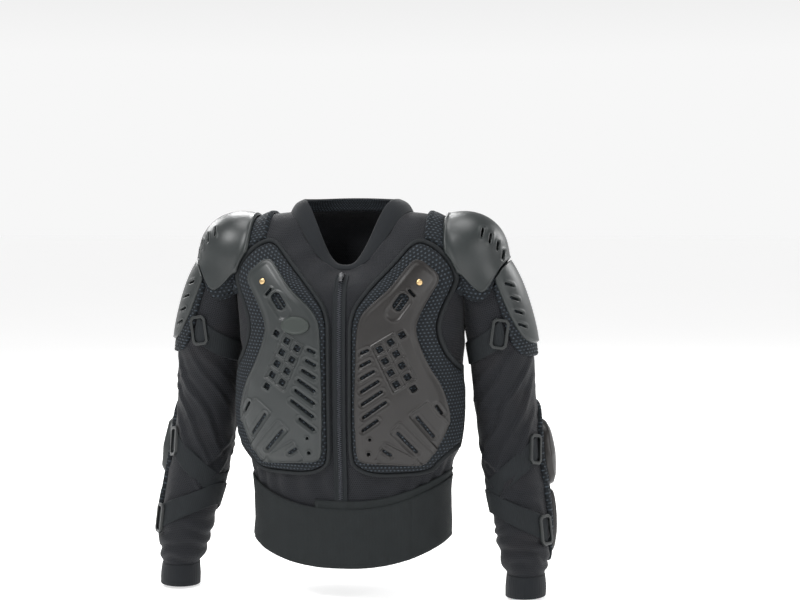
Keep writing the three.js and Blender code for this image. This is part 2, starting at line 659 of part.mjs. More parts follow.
const WING_WINDOWS = [
  { across: 0.49, down: 0.181, length: 22, width: 17, turn: 50 },
  { across: 0.425, down: 0.213, length: 18, width: 15, turn: 50 },
];
function wingPlate() {
  const base = trunkLayer(backPlateLow, backPlateTop, backPrism(twoSided(WING_PLATE)));
  const panel = trunkLayer(backPlateTop - SINK, backPlateTop + PLATE_RISE, backPrism(twoSided(WING_PANEL)));
  const windows = [-1, 1].flatMap((sign) =>
    WING_WINDOWS.map(({ across, down, length, width, turn }) =>
      slotOutline(sign * across * CHEST_HALF_WIDTH, -down * TRUNK_HEIGHT, length, width, sign * turn),
    ),
  );
  return join([base, panel]).subtract(join(windows.map((points) => backPrism(points))));
}
const WING_RIVET = { across: 0.575, down: 0.148 };
const wingRivet = () => disc(WING_RIVET, backPlateTop + GAP, backPrism);

// Spine plates, one below the other, each with a raised middle.
const SPINE_TOP = 0.3265;
const SPINE_PITCH = 0.121;
const SPINE_HALF_WIDTH = 88;
const SPINE_FLANGE = 15;
function spinePlate(number) {
  const top = -(SPINE_TOP + number * SPINE_PITCH) * TRUNK_HEIGHT;
  const bottom = top - SPINE_PITCH * TRUNK_HEIGHT + 2 * GAP;
  const block = (half, high, low) => [[-half, low], [half, low], [half, high], [-half, high]];
  const base = trunkLayer(backPlateLow, backPlateTop, backPrism(block(SPINE_HALF_WIDTH, top, bottom)));
  const middle = block(SPINE_HALF_WIDTH - SPINE_FLANGE, top - 1, bottom + 1);
  return base.add(trunkLayer(backPlateTop - SINK, backPlateTop + 2 * PLATE_RISE, backPrism(middle)));
}

const KIDNEY_SLOTS = { count: 6, across: 0.62, down: 0.51, pitch: 0.0255, length: 20, turn: 6 };
function kidneyPlate() {
  const points = outline(KIDNEY_PLATE);
  const base = trunkLayer(backPlateLow, backPlateTop, backPrism(points));
  const { count, across, down, pitch, length, turn } = KIDNEY_SLOTS;
  const slots = Array.from({ length: count }, (_, i) => {
    const z = -(down + pitch * i) * TRUNK_HEIGHT;
    return backPrism(slotOutline(across * CHEST_HALF_WIDTH, z, length, SLOT_WIDTH, turn));
  });
  return base.subtract(join(slots));
}

// The hanger loop at the back of the neck: a small flat arch.
const LOOP_LENGTH = 34;
const LOOP_HEIGHT = 12;
const LOOP_BAND = 3.5;
const LOOP_DOWN = 0.012;
function hangerLoop() {
  const z = -LOOP_DOWN * TRUNK_HEIGHT;
  const hole = slotOutline(0, z, LOOP_LENGTH - 2 * LOOP_BAND, LOOP_HEIGHT - 2 * LOOP_BAND, 0);
  const ring = backPrism(slotOutline(0, z, LOOP_LENGTH, LOOP_HEIGHT, 0)).subtract(backPrism(hole));
  return trunkLayer(GAP, GAP + STRAP_THICKNESS, ring).subtract(collar()).subtract(backPiping());
}

// Shoulder guard: a cup over foam, both cut to an outline in the front view.
const CUP_CENTRE = new THREE.Vector3(0.966 * CHEST_HALF_WIDTH, 0, -0.113 * TRUNK_HEIGHT);
const SHOULDER_FOAM_OUTLINE = [
  { across: 0.66, down: -0.05 },
  { across: 0.68, down: 0.15 },
  { across: 0.83, down: 0.2 },
  { across: 1.06, down: 0.262 },
  { across: 1.2, down: 0.24 },
  { across: 1.3, down: 0.13 },
  { across: 1.5, down: 0.1 },
  { across: 1.5, down: -0.05 },
];
const SHOULDER_CUP_OUTLINE = [
  { across: 0.76, down: -0.05 },
  { across: 0.775, down: 0.13 },
  { across: 0.88, down: 0.175 },
  { across: 1.13, down: 0.222 },
  { across: 1.2, down: 0.212 },
  { across: 1.335, down: 0.128 },
  { across: 1.5, down: 0.118 },
  { across: 1.5, down: -0.05 },
];
const SHOULDER_SLOTS = [
  { across: 1.135, down: 0.058 },
  { across: 1.2, down: 0.074 },
  { across: 1.258, down: 0.096 },
  { across: 1.3, down: 0.122 },
];
const throughPrism = (points) => prism(points, -REACH, REACH);
const guardForm = (lift) => trunkTo(lift).add(sleeveTo(lift));
function shoulderFoam() {
  const layer = guardForm(GAP + SHOULDER_FOAM).subtract(guardForm(GAP));
  const cut = layer.intersect(throughPrism(outline(SHOULDER_FOAM_OUTLINE)));
  const backClear = trunkTo(BACK_PAD_THICKNESS + GAP).intersect(backPrism(inset(backPoints, -GAP)));
  const chestClear = trunkTo(chestPadTop + GAP).intersect(frontPrism(inset(padPoints, -GAP)));
  return cut.subtract(backClear).subtract(chestClear);
}
function ellipsoid(shrink) {
  const form = new THREE.SphereGeometry(1, 14, 8);
  form.scale(CUP_WIDTH - shrink, CUP_DEPTH - shrink, CUP_HEIGHT - shrink);
  return solidOf(form.translate(...CUP_CENTRE));
}
function shoulderCup() {
  const low = SHOULDER_FOAM + 2 * GAP;
  const slots = SHOULDER_SLOTS.map(({ across, down }) =>
    throughPrism(slotOutline(across * CHEST_HALF_WIDTH, -down * TRUNK_HEIGHT, SLOT_LENGTH, SLOT_WIDTH - 1, 84)),
  );
  const outer = ellipsoid(0).add(guardForm(low + CUP_WALL));
  const inner = ellipsoid(CUP_WALL).add(guardForm(low));
  const cut = outer.subtract(inner).intersect(throughPrism(outline(SHOULDER_CUP_OUTLINE)));
  const backClear = trunkTo(BACK_PAD_THICKNESS + GAP).intersect(backPrism(inset(backPoints, -GAP)));
  const chestClear = trunkTo(chestPadTop + GAP).intersect(frontPrism(inset(padPoints, -GAP)));
  return cut.subtract(backClear).subtract(chestClear).subtract(join(slots));
}

// Guards of the arm. down is a share of ARM_LENGTH, middle and half are turns round the sleeve.
const BICEP_FOAM = [
  { down: 0.15, middle: 0, half: 0.16 },
  { down: 0.22, middle: 0, half: 0.19 },
  { down: 0.33, middle: 0, half: 0.19 },
  { down: 0.38, middle: 0, half: 0.17 },
  { down: 0.405, middle: 0, half: 0.12 },
];
const BICEP_PLATE = [
  { down: 0.15, middle: 0, half: 0.1 },
  { down: 0.18, middle: 0, half: 0.165 },
  { down: 0.26, middle: 0, half: 0.18 },
  { down: 0.34, middle: 0, half: 0.155 },
  { down: 0.375, middle: 0, half: 0.11 },
];
const ELBOW_FOAM = [
  { down: 0.53, middle: 0.13, half: 0.07 },
  { down: 0.58, middle: 0.13, half: 0.15 },
  { down: 0.7, middle: 0.13, half: 0.19 },
  { down: 0.85, middle: 0.13, half: 0.17 },
  { down: 0.95, middle: 0.12, half: 0.13 },
  { down: 0.975, middle: 0.12, half: 0.08 },
];
const ELBOW_CUP = [
  { down: 0.59, middle: 0.13, half: 0.06 },
  { down: 0.62, middle: 0.13, half: 0.13 },
  { down: 0.69, middle: 0.13, half: 0.16 },
  { down: 0.75, middle: 0.13, half: 0.14 },
  { down: 0.78, middle: 0.13, half: 0.08 },
];
const FOREARM_PLATE = [
  { down: 0.785, middle: 0.13, half: 0.1 },
  { down: 0.82, middle: 0.13, half: 0.115 },
  { down: 0.9, middle: 0.12, half: 0.1 },
  { down: 0.955, middle: 0.12, half: 0.06 },
];
const guardLow = SHOULDER_FOAM + 2 * GAP;

// A guard from a table of its widths, with a crown that rises towards its middle.
function guard(rows, low, thickness, crown, columns = 5, steps = 6) {
  const last = rows.length - 1;
  return patch(sleeve, columns, steps, {
    turns: (v) => {
      const [middle, half] = [column(rows, "middle", v * last), column(rows, "half", v * last)];
      return [middle - half, middle + half];
    },
    row: (v) => rowAt(SLEEVE_RINGS, "down", column(rows, "down", v * last)),
    lifts: (u, v) => {
      const rise = crown * Math.sqrt(Math.sin(Math.PI * u) * Math.sin(Math.PI * v));
      return [low + Math.max(rise - thickness * 0.2, 0), low + thickness + rise];
    },
  });
}

// A cutter with the outline of a guard, right through the sleeve's wall.
const guardCutter = (rows) => guard(rows, -SHOULDER_FOAM, 4 * SHOULDER_FOAM, 0);

// Slots cut through a guard at rows down it, on both sides of its middle.
function guardSlots(rows, middle, offsets, degrees) {
  const made = rows.flatMap((down) =>
    offsets.map((offset) => {
      const box = new THREE.BoxGeometry(SLOT_LENGTH, SLOT_WIDTH, 4 * PAD_THICKNESS);
      box.rotateZ(THREE.MathUtils.degToRad(-Math.sign(offset) * degrees));
      return solidOf(box.applyMatrix4(seat(sleeve, middle + offset, rowAt(SLEEVE_RINGS, "down", down), guardLow)));
    }),
  );
  return join(made);
}
const shoulderRegion = throughPrism(inset(outline(SHOULDER_FOAM_OUTLINE), -GAP));
const bicepFoam = () =>
  sleeveLayer(GAP, GAP + SHOULDER_FOAM, guardCutter(BICEP_FOAM)).subtract(shoulderRegion).subtract(trunkTo(GAP));
const bicepPlate = () =>
  guard(BICEP_PLATE, guardLow, PLATE_THICKNESS, 2)
    .subtract(guardForm(guardLow))
    .subtract(ellipsoid(-GAP))
    .subtract(throughPrism(inset(outline(SHOULDER_CUP_OUTLINE), -GAP)))
    .subtract(guardSlots([0.225, 0.258, 0.291, 0.324], 0, [-0.12, 0.12], 30));
const elbowFoam = () => sleeveLayer(GAP, GAP + SHOULDER_FOAM, guardCutter(ELBOW_FOAM));
const elbowCup = () =>
  guard(ELBOW_CUP, guardLow, PLATE_THICKNESS, ELBOW_BULGE, 6, 6)
    .subtract(sleeveTo(guardLow))
    .subtract(guardSlots([0.665, 0.69, 0.715], 0.13, [0.05], 8));
const forearmPlate = () =>
  guard(FOREARM_PLATE, guardLow, PLATE_THICKNESS, 5, 4, 4)
    .subtract(sleeveTo(guardLow))
    .subtract(guardSlots([0.84, 0.87], 0.13, [0.03], 8));

// Straps lie round the inner side of the sleeve, from the back edge of a guard to its front edge.
const BICEP_STRAP = [
  { turn: 0.21, down: 0.315 },
  { turn: 0.35, down: 0.355 },
  { turn: 0.5, down: 0.385 },
  { turn: 0.65, down: 0.37 },
  { turn: 0.8, down: 0.33 },
];
const UPPER_STRAP = [
  { turn: 0.335, down: 0.72 },
  { turn: 0.45, down: 0.765 },
  { turn: 0.6, down: 0.765 },
  { turn: 0.8, down: 0.7 },
  { turn: 0.93, down: 0.655 },
];
const LOWER_STRAP = [
  { turn: 0.32, down: 0.87 },
  { turn: 0.45, down: 0.81 },
  { turn: 0.6, down: 0.8 },
  { turn: 0.8, down: 0.85 },
  { turn: 0.93, down: 0.885 },
];
function strap(rows, low) {
  const last = rows.length - 1;
  const half = STRAP_WIDTH / 2 / ARM_LENGTH;
  const cutter = patch(sleeve, 6, 1, {
    turns: () => [rows[0].turn, rows[last].turn],
    row: (v, u) => {
      const turn = rows[0].turn + (rows[last].turn - rows[0].turn) * u;
      const middle = column(rows, "down", rowAt(rows, "turn", turn));
      return rowAt(SLEEVE_RINGS, "down", middle + (2 * v - 1) * half);
    },
    lifts: () => [low - BUCKLE_BAR, low + 2 * BUCKLE_BAR],
  });
  return sleeveLayer(low, low + STRAP_THICKNESS, cutter);
}
const upperStrap = () => strap(UPPER_STRAP, GAP);
const lowerStrap = () => strap(LOWER_STRAP, GAP + STRAP_THICKNESS + GAP);
const bicepStrap = () => strap(BICEP_STRAP, GAP).subtract(trunkTo(GAP));

// A buckle: a rounded frame with a middle bar, seated over the strap and tight to the guard.
const BUCKLE_LENGTH = STRAP_WIDTH + 12;
const BUCKLE_WIDTH = 30;
const BUCKLE_SINK = 2;
function buckle(turn, down, degrees, strapTop, foam) {
  const ring = (width, height, cut) => [
    [-width / 2 + cut, -height / 2],
    [width / 2 - cut, -height / 2],
    [width / 2, -height / 2 + cut],
    [width / 2, height / 2 - cut],
    [width / 2 - cut, height / 2],
    [-width / 2 + cut, height / 2],
    [-width / 2, height / 2 - cut],
    [-width / 2, -height / 2 + cut],
  ];
  const vectors = (points) => points.map(([x, y]) => new THREE.Vector2(x, y));
  const shape = new THREE.Shape(vectors(ring(BUCKLE_WIDTH, BUCKLE_LENGTH, 6)));
  shape.holes.push(new THREE.Path(vectors(ring(BUCKLE_WIDTH - 2 * BUCKLE_BAR, BUCKLE_LENGTH - 2 * BUCKLE_BAR, 3))));
  const frame = new THREE.ExtrudeGeometry(shape, { depth: BUCKLE_BAR, bevelEnabled: false });
  frame.rotateZ(THREE.MathUtils.degToRad(degrees));
  const row = rowAt(SLEEVE_RINGS, "down", down);
  const under = sleeveTo(strapTop + GAP);
  return solidOf(frame.applyMatrix4(seat(sleeve, turn, row, strapTop - BUCKLE_SINK))).subtract(under).subtract(foam);
}
const strapTop = GAP + STRAP_THICKNESS;
const grown = (rows) => rows.map(({ down, middle, half }) => ({ down, middle, half: half + 0.004 }));
const bicepClear = () => sleeveTo(guardLow).intersect(guardCutter(grown(BICEP_FOAM)));
const elbowClear = () => sleeveTo(guardLow).intersect(guardCutter(grown(ELBOW_FOAM)));
const bicepBuckle = () => buckle(0.775, 0.335, -20, strapTop, bicepClear());
const upperBuckle = () => buckle(0.905, 0.665, -12, strapTop, elbowClear());
const lowerBuckle = () => buckle(0.905, 0.88, 8, 2 * strapTop, elbowClear());

// Finishes: colour, roughness and metalness.
const finish = (color, roughness, metalness = 0) => new THREE.MeshStandardMaterial({ color, roughness, metalness });
const hardPlastic = () => finish(0x34393a, 0.45);
const foam = () => finish(0x2d3640, 0.85);
const binding = () => finish(0x222629, 0.8);
const mesh = () => finish(0x22242b, 0.9);
const elastic = () => finish(0x2c3234, 0.85);
const webbing = () => finish(0x2a2f32, 0.85);
const stretch = () => finish(0x272d33, 0.8);
const brass = () => finish(0xc8a05a, 0.35, 0.9);
const darkMetal = () => finish(0x3a3d42, 0.4, 0.7);

const jacket = new THREE.Group();
function place(name, solid, material, side = 1) {
  const piece = new THREE.Mesh(geometryOf(solid), material);
  piece.name = name;
  piece.scale.x = side;
  jacket.add(piece);
}
const single = [
  ["mesh_body", meshTrunk, mesh],
  ["collar", collar, stretch],
  ["zip", zip, webbing],
  ["zip_pull", zipPull, darkMetal],
  ["oval_badge", ovalBadge, hardPlastic],
  ["back_pad", backPad, foam],
  ["back_piping", backPiping, binding],
  ["neck_flange", neckFlange, hardPlastic],
  ["neck_dome", neckDome, hardPlastic],
  ["wing_plate", wingPlate, hardPlastic],
  ["kidney_belt", kidneyBelt, elastic],
  ["belt_overlap", beltOverlap, elastic],
  ["hanger_loop", hangerLoop, webbing],
];
const paired = [
  ["mesh_sleeve", meshSleeve, mesh],
  ["cuff", cuff, stretch],
  ["chest_pad", chestPad, foam],
  ["chest_piping", chestPiping, binding],
  ["chest_plate", chestPlate, hardPlastic],
  ["chest_rivet", chestRivet, brass],
  ["wing_rivet", wingRivet, brass],
  ["kidney_plate", kidneyPlate, hardPlastic],
  ["shoulder_foam", shoulderFoam, foam],
  ["shoulder_cup", shoulderCup, hardPlastic],
  ["bicep_foam", bicepFoam, foam],
  ["bicep_plate", bicepPlate, hardPlastic],
  ["bicep_strap", bicepStrap, webbing],
  ["bicep_buckle", bicepBuckle, hardPlastic],
  ["elbow_foam", elbowFoam, foam],
  ["elbow_cup", elbowCup, hardPlastic],
  ["forearm_plate", forearmPlate, hardPlastic],
  ["forearm_strap_upper", upperStrap, webbing],
  ["forearm_strap_lower", lowerStrap, webbing],
  ["forearm_buckle_upper", upperBuckle, hardPlastic],
  ["forearm_buckle_lower", lowerBuckle, hardPlastic],
];
for (const [name, make, material] of single) place(name, make(), material());
for (let number = 0; number < 4; number += 1) place(`spine_plate_${number + 1}`, spinePlate(number), hardPlastic());

for (side of [1, -1]) {
  const word = side > 0 ? "right" : "left";
  for (const [name, make, material] of paired) place(`${name}_${word}`, make(), material(), side);
}

export default jacket;
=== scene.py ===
import math
from contextlib import contextmanager

import bmesh
import bpy
import numpy as np
from bpy.props import FloatProperty, FloatVectorProperty, PointerProperty
from mathutils import Matrix, Vector
from mathutils.bvhtree import BVHTree


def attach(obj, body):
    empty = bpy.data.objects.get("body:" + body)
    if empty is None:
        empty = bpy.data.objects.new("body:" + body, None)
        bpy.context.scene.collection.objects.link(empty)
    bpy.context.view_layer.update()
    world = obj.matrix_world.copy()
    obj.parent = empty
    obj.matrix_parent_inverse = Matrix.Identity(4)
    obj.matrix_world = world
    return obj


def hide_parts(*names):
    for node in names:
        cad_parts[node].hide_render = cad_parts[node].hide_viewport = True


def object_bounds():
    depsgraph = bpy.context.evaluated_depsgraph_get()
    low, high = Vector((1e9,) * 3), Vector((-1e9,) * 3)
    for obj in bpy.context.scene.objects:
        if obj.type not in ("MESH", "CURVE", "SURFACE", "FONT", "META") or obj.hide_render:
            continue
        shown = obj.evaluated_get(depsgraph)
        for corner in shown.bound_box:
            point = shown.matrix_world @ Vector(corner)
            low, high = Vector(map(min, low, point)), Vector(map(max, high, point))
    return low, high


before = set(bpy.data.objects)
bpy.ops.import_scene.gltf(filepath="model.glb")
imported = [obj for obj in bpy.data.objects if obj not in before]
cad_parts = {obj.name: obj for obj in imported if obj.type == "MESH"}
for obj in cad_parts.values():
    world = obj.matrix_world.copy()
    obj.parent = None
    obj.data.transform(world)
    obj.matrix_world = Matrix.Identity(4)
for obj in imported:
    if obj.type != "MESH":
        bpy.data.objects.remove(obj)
CAD_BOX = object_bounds()

bl_info = {
    "name": "Armoured Jacket",
    "version": (1, 0, 0),
    "blender": (4, 5, 0),
    "location": "View3D > Sidebar > Jacket",
    "description": "Mesh jacket with foam pads, hard plates, guards, straps and a waist belt",
    "category": "Object",
}

# Everything below is in millimetres until a mesh is written.
MM = 0.001
CHEST_HALF_WIDTH = 205
CHEST_FRONT = 126
CHEST_BACK = 112
TRUNK_HEIGHT = 600
FULLNESS = 2.35
SLEEVE_RADIUS = 54
AROUND = 2 * math.pi * SLEEVE_RADIUS
ARM_SPREAD = 262
ARM_LENGTH = 620
CUFF_TOP = -623.2
FABRIC_HEM = -558
GAP = 0.3
SIDE_SEAM = -25.2


def table(names, *rows):
    """Named columns of numbers."""
    return dict(zip(names.split(), (np.array(column, float) for column in zip(*rows))))


# Rings of the trunk from the neck edge to the hem, as shares of the sizes above
TRUNK = table(
    "side front back drop_side drop_front drop_back vee",
    (0.52, 0.6, 0.55, 0.0, 0.165, -0.005, 3.4),
    (0.67, 0.73, 0.75, 0.008, 0.18, 0.015, 3),
    (0.82, 0.83, 0.9, 0.035, 0.195, 0.045, 2.6),
    (0.94, 0.9, 0.97, 0.085, 0.21, 0.09, 2.2),
    (1.0, 0.95, 1.0, 0.16, 0.235, 0.16, 2),
    (0.99, 0.98, 1.0, 0.25, 0.28, 0.25, 2),
    (0.96, 1.0, 0.99, 0.35, 0.36, 0.35, 2),
    (0.95, 1.0, 0.97, 0.45, 0.45, 0.45, 2),
    (0.965, 0.99, 0.93, 0.56, 0.56, 0.56, 2),
    (0.935, 0.95, 0.88, 0.66, 0.66, 0.66, 2),
    (0.855, 0.9, 0.85, 0.735, 0.74, 0.735, 2),
    (0.82, 0.88, 0.85, 0.8, 0.81, 0.8, 2),
    (0.82, 0.89, 0.87, 0.9, 0.91, 0.9, 2),
    (0.84, 0.93, 0.91, 1.04, 1.05, 1.04, 2),
)
# Rings of a sleeve from inside the shoulder to the wrist; lean is in degrees from the vertical
SLEEVE = table(
    "out down across deep fore lean",
    (0.57, 0.105, 0.88, 0.98, 0.0, 72),
    (0.72, 0.122, 0.9, 1.02, 0.0, 50),
    (0.845, 0.185, 0.94, 1.06, -0.02, 28),
    (0.925, 0.265, 0.98, 1.1, -0.05, 15),
    (0.99, 0.39, 1.04, 1.12, -0.1, 6),
    (1.015, 0.52, 1.0, 1.06, -0.16, 4),
    (1.055, 0.67, 0.97, 1.0, -0.16, 6),
    (1.1, 0.775, 0.93, 0.95, -0.08, 7),
    (1.14, 0.87, 0.86, 0.88, 0.04, 5),
    (1.16, 0.96, 0.72, 0.74, 0.14, 3),
    (1.17, 1.0, 0.6, 0.64, 0.18, 2),
    (1.17, 1.06, 0.62, 0.66, 0.22, 2),
)
# Rings of the collar from its rim to the neck edge
COLLAR = table(
    "side front back drop_side drop_front drop_back vee",
    (0.4, 0.52, 0.47, -0.0367, 0.153, -0.0403, 5),
    (0.47, 0.56, 0.52, -0.0227, 0.155, -0.022, 4.2),
    (0.52, 0.6, 0.55, 0.0, 0.165, -0.005, 3.4),
)


# Forms: every surface is a function of a turn and a row
def column(values, at):
    """Value of a column between two rows, on a smooth curve."""
    last = len(values) - 1
    low = np.clip(np.floor(at).astype(int), 0, last - 1)
    s = at - low
    before, start, end, after = (values[np.clip(low + k, 0, last)] for k in (-1, 0, 1, 2))
    s2, s3 = s * s, s * s * s
    first = start * (2 * s3 - 3 * s2 + 1) + (end - before) / 2 * (s3 - 2 * s2 + s)
    return first + end * (3 * s2 - 2 * s3) + (after - start) / 2 * (s3 - s2)


def ringed(rings):
    """Surface of the trunk's kind from its table of rings."""

    def point(turn, row):
        angle = np.asarray(turn, float) * 2 * math.pi
        row = np.asarray(row, float) + 0 * angle
        held = [column(values, row) for values in rings.values()]
        side, front, back, drop_side, drop_front, drop_back, vee = held
        c, s = np.cos(angle), np.sin(angle)
        depth = np.where(s < 0, CHEST_FRONT * front, CHEST_BACK * back)
        share = np.abs(s) ** vee
        drop = drop_side * (1 - share) + np.where(s < 0, drop_front, drop_back) * share
        wide = np.sign(c) * np.abs(c) ** (2 / FULLNESS)
        deep = np.sign(s) * np.abs(s) ** (2 / FULLNESS)
        return np.stack([CHEST_HALF_WIDTH * side * wide, depth * deep, -TRUNK_HEIGHT * drop], -1)

    return point


trunk = ringed(TRUNK)
neck = ringed(COLLAR)


def sleeve(turn, row):
    """Surface of the plus-side sleeve; turn 0 is its outer side and 0.25 its back."""
    angle = np.asarray(turn, float) * 2 * math.pi
    row = np.asarray(row, float) + 0 * angle
    out, down, across, deep, fore, lean = [column(values, row) for values in SLEEVE.values()]
    lean = np.radians(lean)
    across = SLEEVE_RADIUS * across * np.cos(angle)
    x = ARM_SPREAD * out + across * np.cos(lean)
    y = -CHEST_FRONT * fore + SLEEVE_RADIUS * deep * np.sin(angle)
    return np.stack([x, y, -ARM_LENGTH * down + across * np.sin(lean)], -1)


def normals(form, turn, row, step=0.01):
    """Outward directions of a form."""
    along = form(turn + step, row) - form(turn - step, row)
    down = form(turn, row + step) - form(turn, row - step)
    out = np.cross(down, along)
    return out / np.maximum(np.linalg.norm(out, axis=-1, keepdims=True), 1e-9)


def lifted(form, turn, row, lift=0.0):
    """Points of a form moved off it along its own directions."""
    lift = np.asarray(lift, float)[..., None] if np.ndim(lift) else lift
    return form(turn, row) + normals(form, turn, row) * lift


def row_at(values, wanted):
    """Row at which a growing column reaches a value."""
    rows = np.linspace(0, len(values) - 1, 2000)
    return np.interp(wanted, column(values, rows), rows)


# Distances in a plane, negative inside
def rounded(points, reach=9.0, times=3):
    """Outline with its corners cut off again and again."""
    points = np.array(points, float)
    for k in range(times):
        before, after = np.roll(points, 1, 0), np.roll(points, -1, 0)
        cut = []
        for target in (before, after):
            way = target - points
            length = np.linalg.norm(way, axis=1, keepdims=True)
            cut.append(points + way * np.minimum(reach / 2**k / np.maximum(length, 1e-6), 0.27))
        points = np.stack(cut, 1).reshape(-1, 2)
    return points


def area_of(points):
    """Distance function of a closed outline."""
    points = np.array(points, float)
    ends = np.roll(points, -1, 0)

    def distance(x, z):
        best = np.full(np.shape(x), 1e12)
        inside = np.zeros(np.shape(x), bool)
        for (ax, az), (bx, bz) in zip(points, ends):
            ex, ez = bx - ax, bz - az
            share = np.clip(((x - ax) * ex + (z - az) * ez) / max(ex * ex + ez * ez, 1e-12), 0, 1)
            best = np.minimum(best, (x - ax - share * ex) ** 2 + (z - az - share * ez) ** 2)
            if az != bz:
                crosses = (az > z) != (bz > z)
                inside ^= crosses & (x < ex * (z - az) / ez + ax)
        return np.where(inside, -1, 1) * np.sqrt(best)

    return distance


def turned(x, z, place, degrees):
    """Coordinates from a place, along axes turned by some degrees."""
    turn = math.radians(degrees)
    a = (x - place[0]) * math.cos(turn) + (z - place[1]) * math.sin(turn)
    return a, -(x - place[0]) * math.sin(turn) + (z - place[1]) * math.cos(turn)


def bar(x, z, place, length, width, degrees=0.0, corner=None):
    """Distance to a rounded bar."""
    a, b = turned(x, z, place, degrees)
    corner = min(length, width) / 2 if corner is None else corner
    da, db = np.abs(a) - length / 2 + corner, np.abs(b) - width / 2 + corner
    return np.hypot(np.maximum(da, 0), np.maximum(db, 0)) + np.minimum(np.maximum(da, db), 0) - corner


def bars(x, z, rows):
    """Distance to the nearest of some rounded bars, each given as a row of the values that bar takes."""
    return np.minimum.reduce([bar(x, z, *row) for row in rows])


def smooth(low, high, value):
    """0 below low, 1 above high, and a smooth step between."""
    t = np.clip((value - low) / (high - low), 0, 1)
    return t * t * (3 - 2 * t)


def hump(value, width):
    """1 in the middle of a band, 0 at its edges."""
    return 1 - smooth(0, width, np.abs(value))


def rim(distance, radius):
    """Height share of an edge that is rounded over a radius."""
    t = np.clip(1 + distance / radius, 0, 1)
    return np.sqrt(np.clip(1 - t * t, 0, 1))


def roll(distance, band):
    """Height share of a piping as wide as the band, inside an outline."""
    return rim(np.abs(distance + band / 2) - band / 2, band / 2)


def wobble(points, size, seed):
    """Smooth noise from a few waves, about -1 to 1."""
    chance = np.random.default_rng(seed)
    total = 0.0
    for k in range(6):
        way = chance.normal(size=3)
        way *= 2 * math.pi / (size * (0.6 + 0.9 * chance.random()) * np.linalg.norm(way))
        total = total + np.sin(points @ way + chance.random() * 7)
    return total / 3.2


def creases(x, z, lines):
    """Height share of folds along lines, each a ridge with a groove beside it."""
    total = np.zeros(np.shape(x))
    for (ax, az), (bx, bz), height, width in lines:
        ex, ez = bx - ax, bz - az
        length = math.hypot(ex, ez)
        share = ((x - ax) * ex + (z - az) * ez) / length**2
        bend = 0.12 * length * (share - 0.5) ** 2
        side = ((x - ax) * ez - (z - az) * ex) / length + bend
        taper = np.clip(4 * share * (1 - share), 0, 1) ** 0.6
        groove = 0.55 * np.exp(-(((side - 1.7 * width) / width) ** 2))
        total += height * taper * (np.exp(-((side / width) ** 2)) - groove)
    return total


def shares(rows):
    """Outline in millimetres from shares of the chest's half width and the trunk's height."""
    return [(across * CHEST_HALF_WIDTH, -down * TRUNK_HEIGHT) for across, down in rows]


def both_sides(rows):
    """Outline on both sides of the middle from its plus side."""
    return shares(list(rows) + [(-across, down) for across, down in reversed(rows) if across > 0])


# Finishes: a small class wraps a socket, so that patterns are written as sums
class Value:
    """A number or link of a finish, with the usual operators."""

    def __init__(self, net, link):
        self.net = net
        self.link = link

    def _with(self, operation, *others):
        return self.net.sum(operation, self, *others)

    def __add__(self, other):
        return self._with("ADD", other)

    __radd__ = __add__

    def __mul__(self, other):
        return self._with("MULTIPLY", other)

    __rmul__ = __mul__

    def __sub__(self, other):
        return self._with("SUBTRACT", other)

    def __rsub__(self, other):
        return self.net.sum("SUBTRACT", other, self)

    def __truediv__(self, other):
        return self._with("DIVIDE", other)


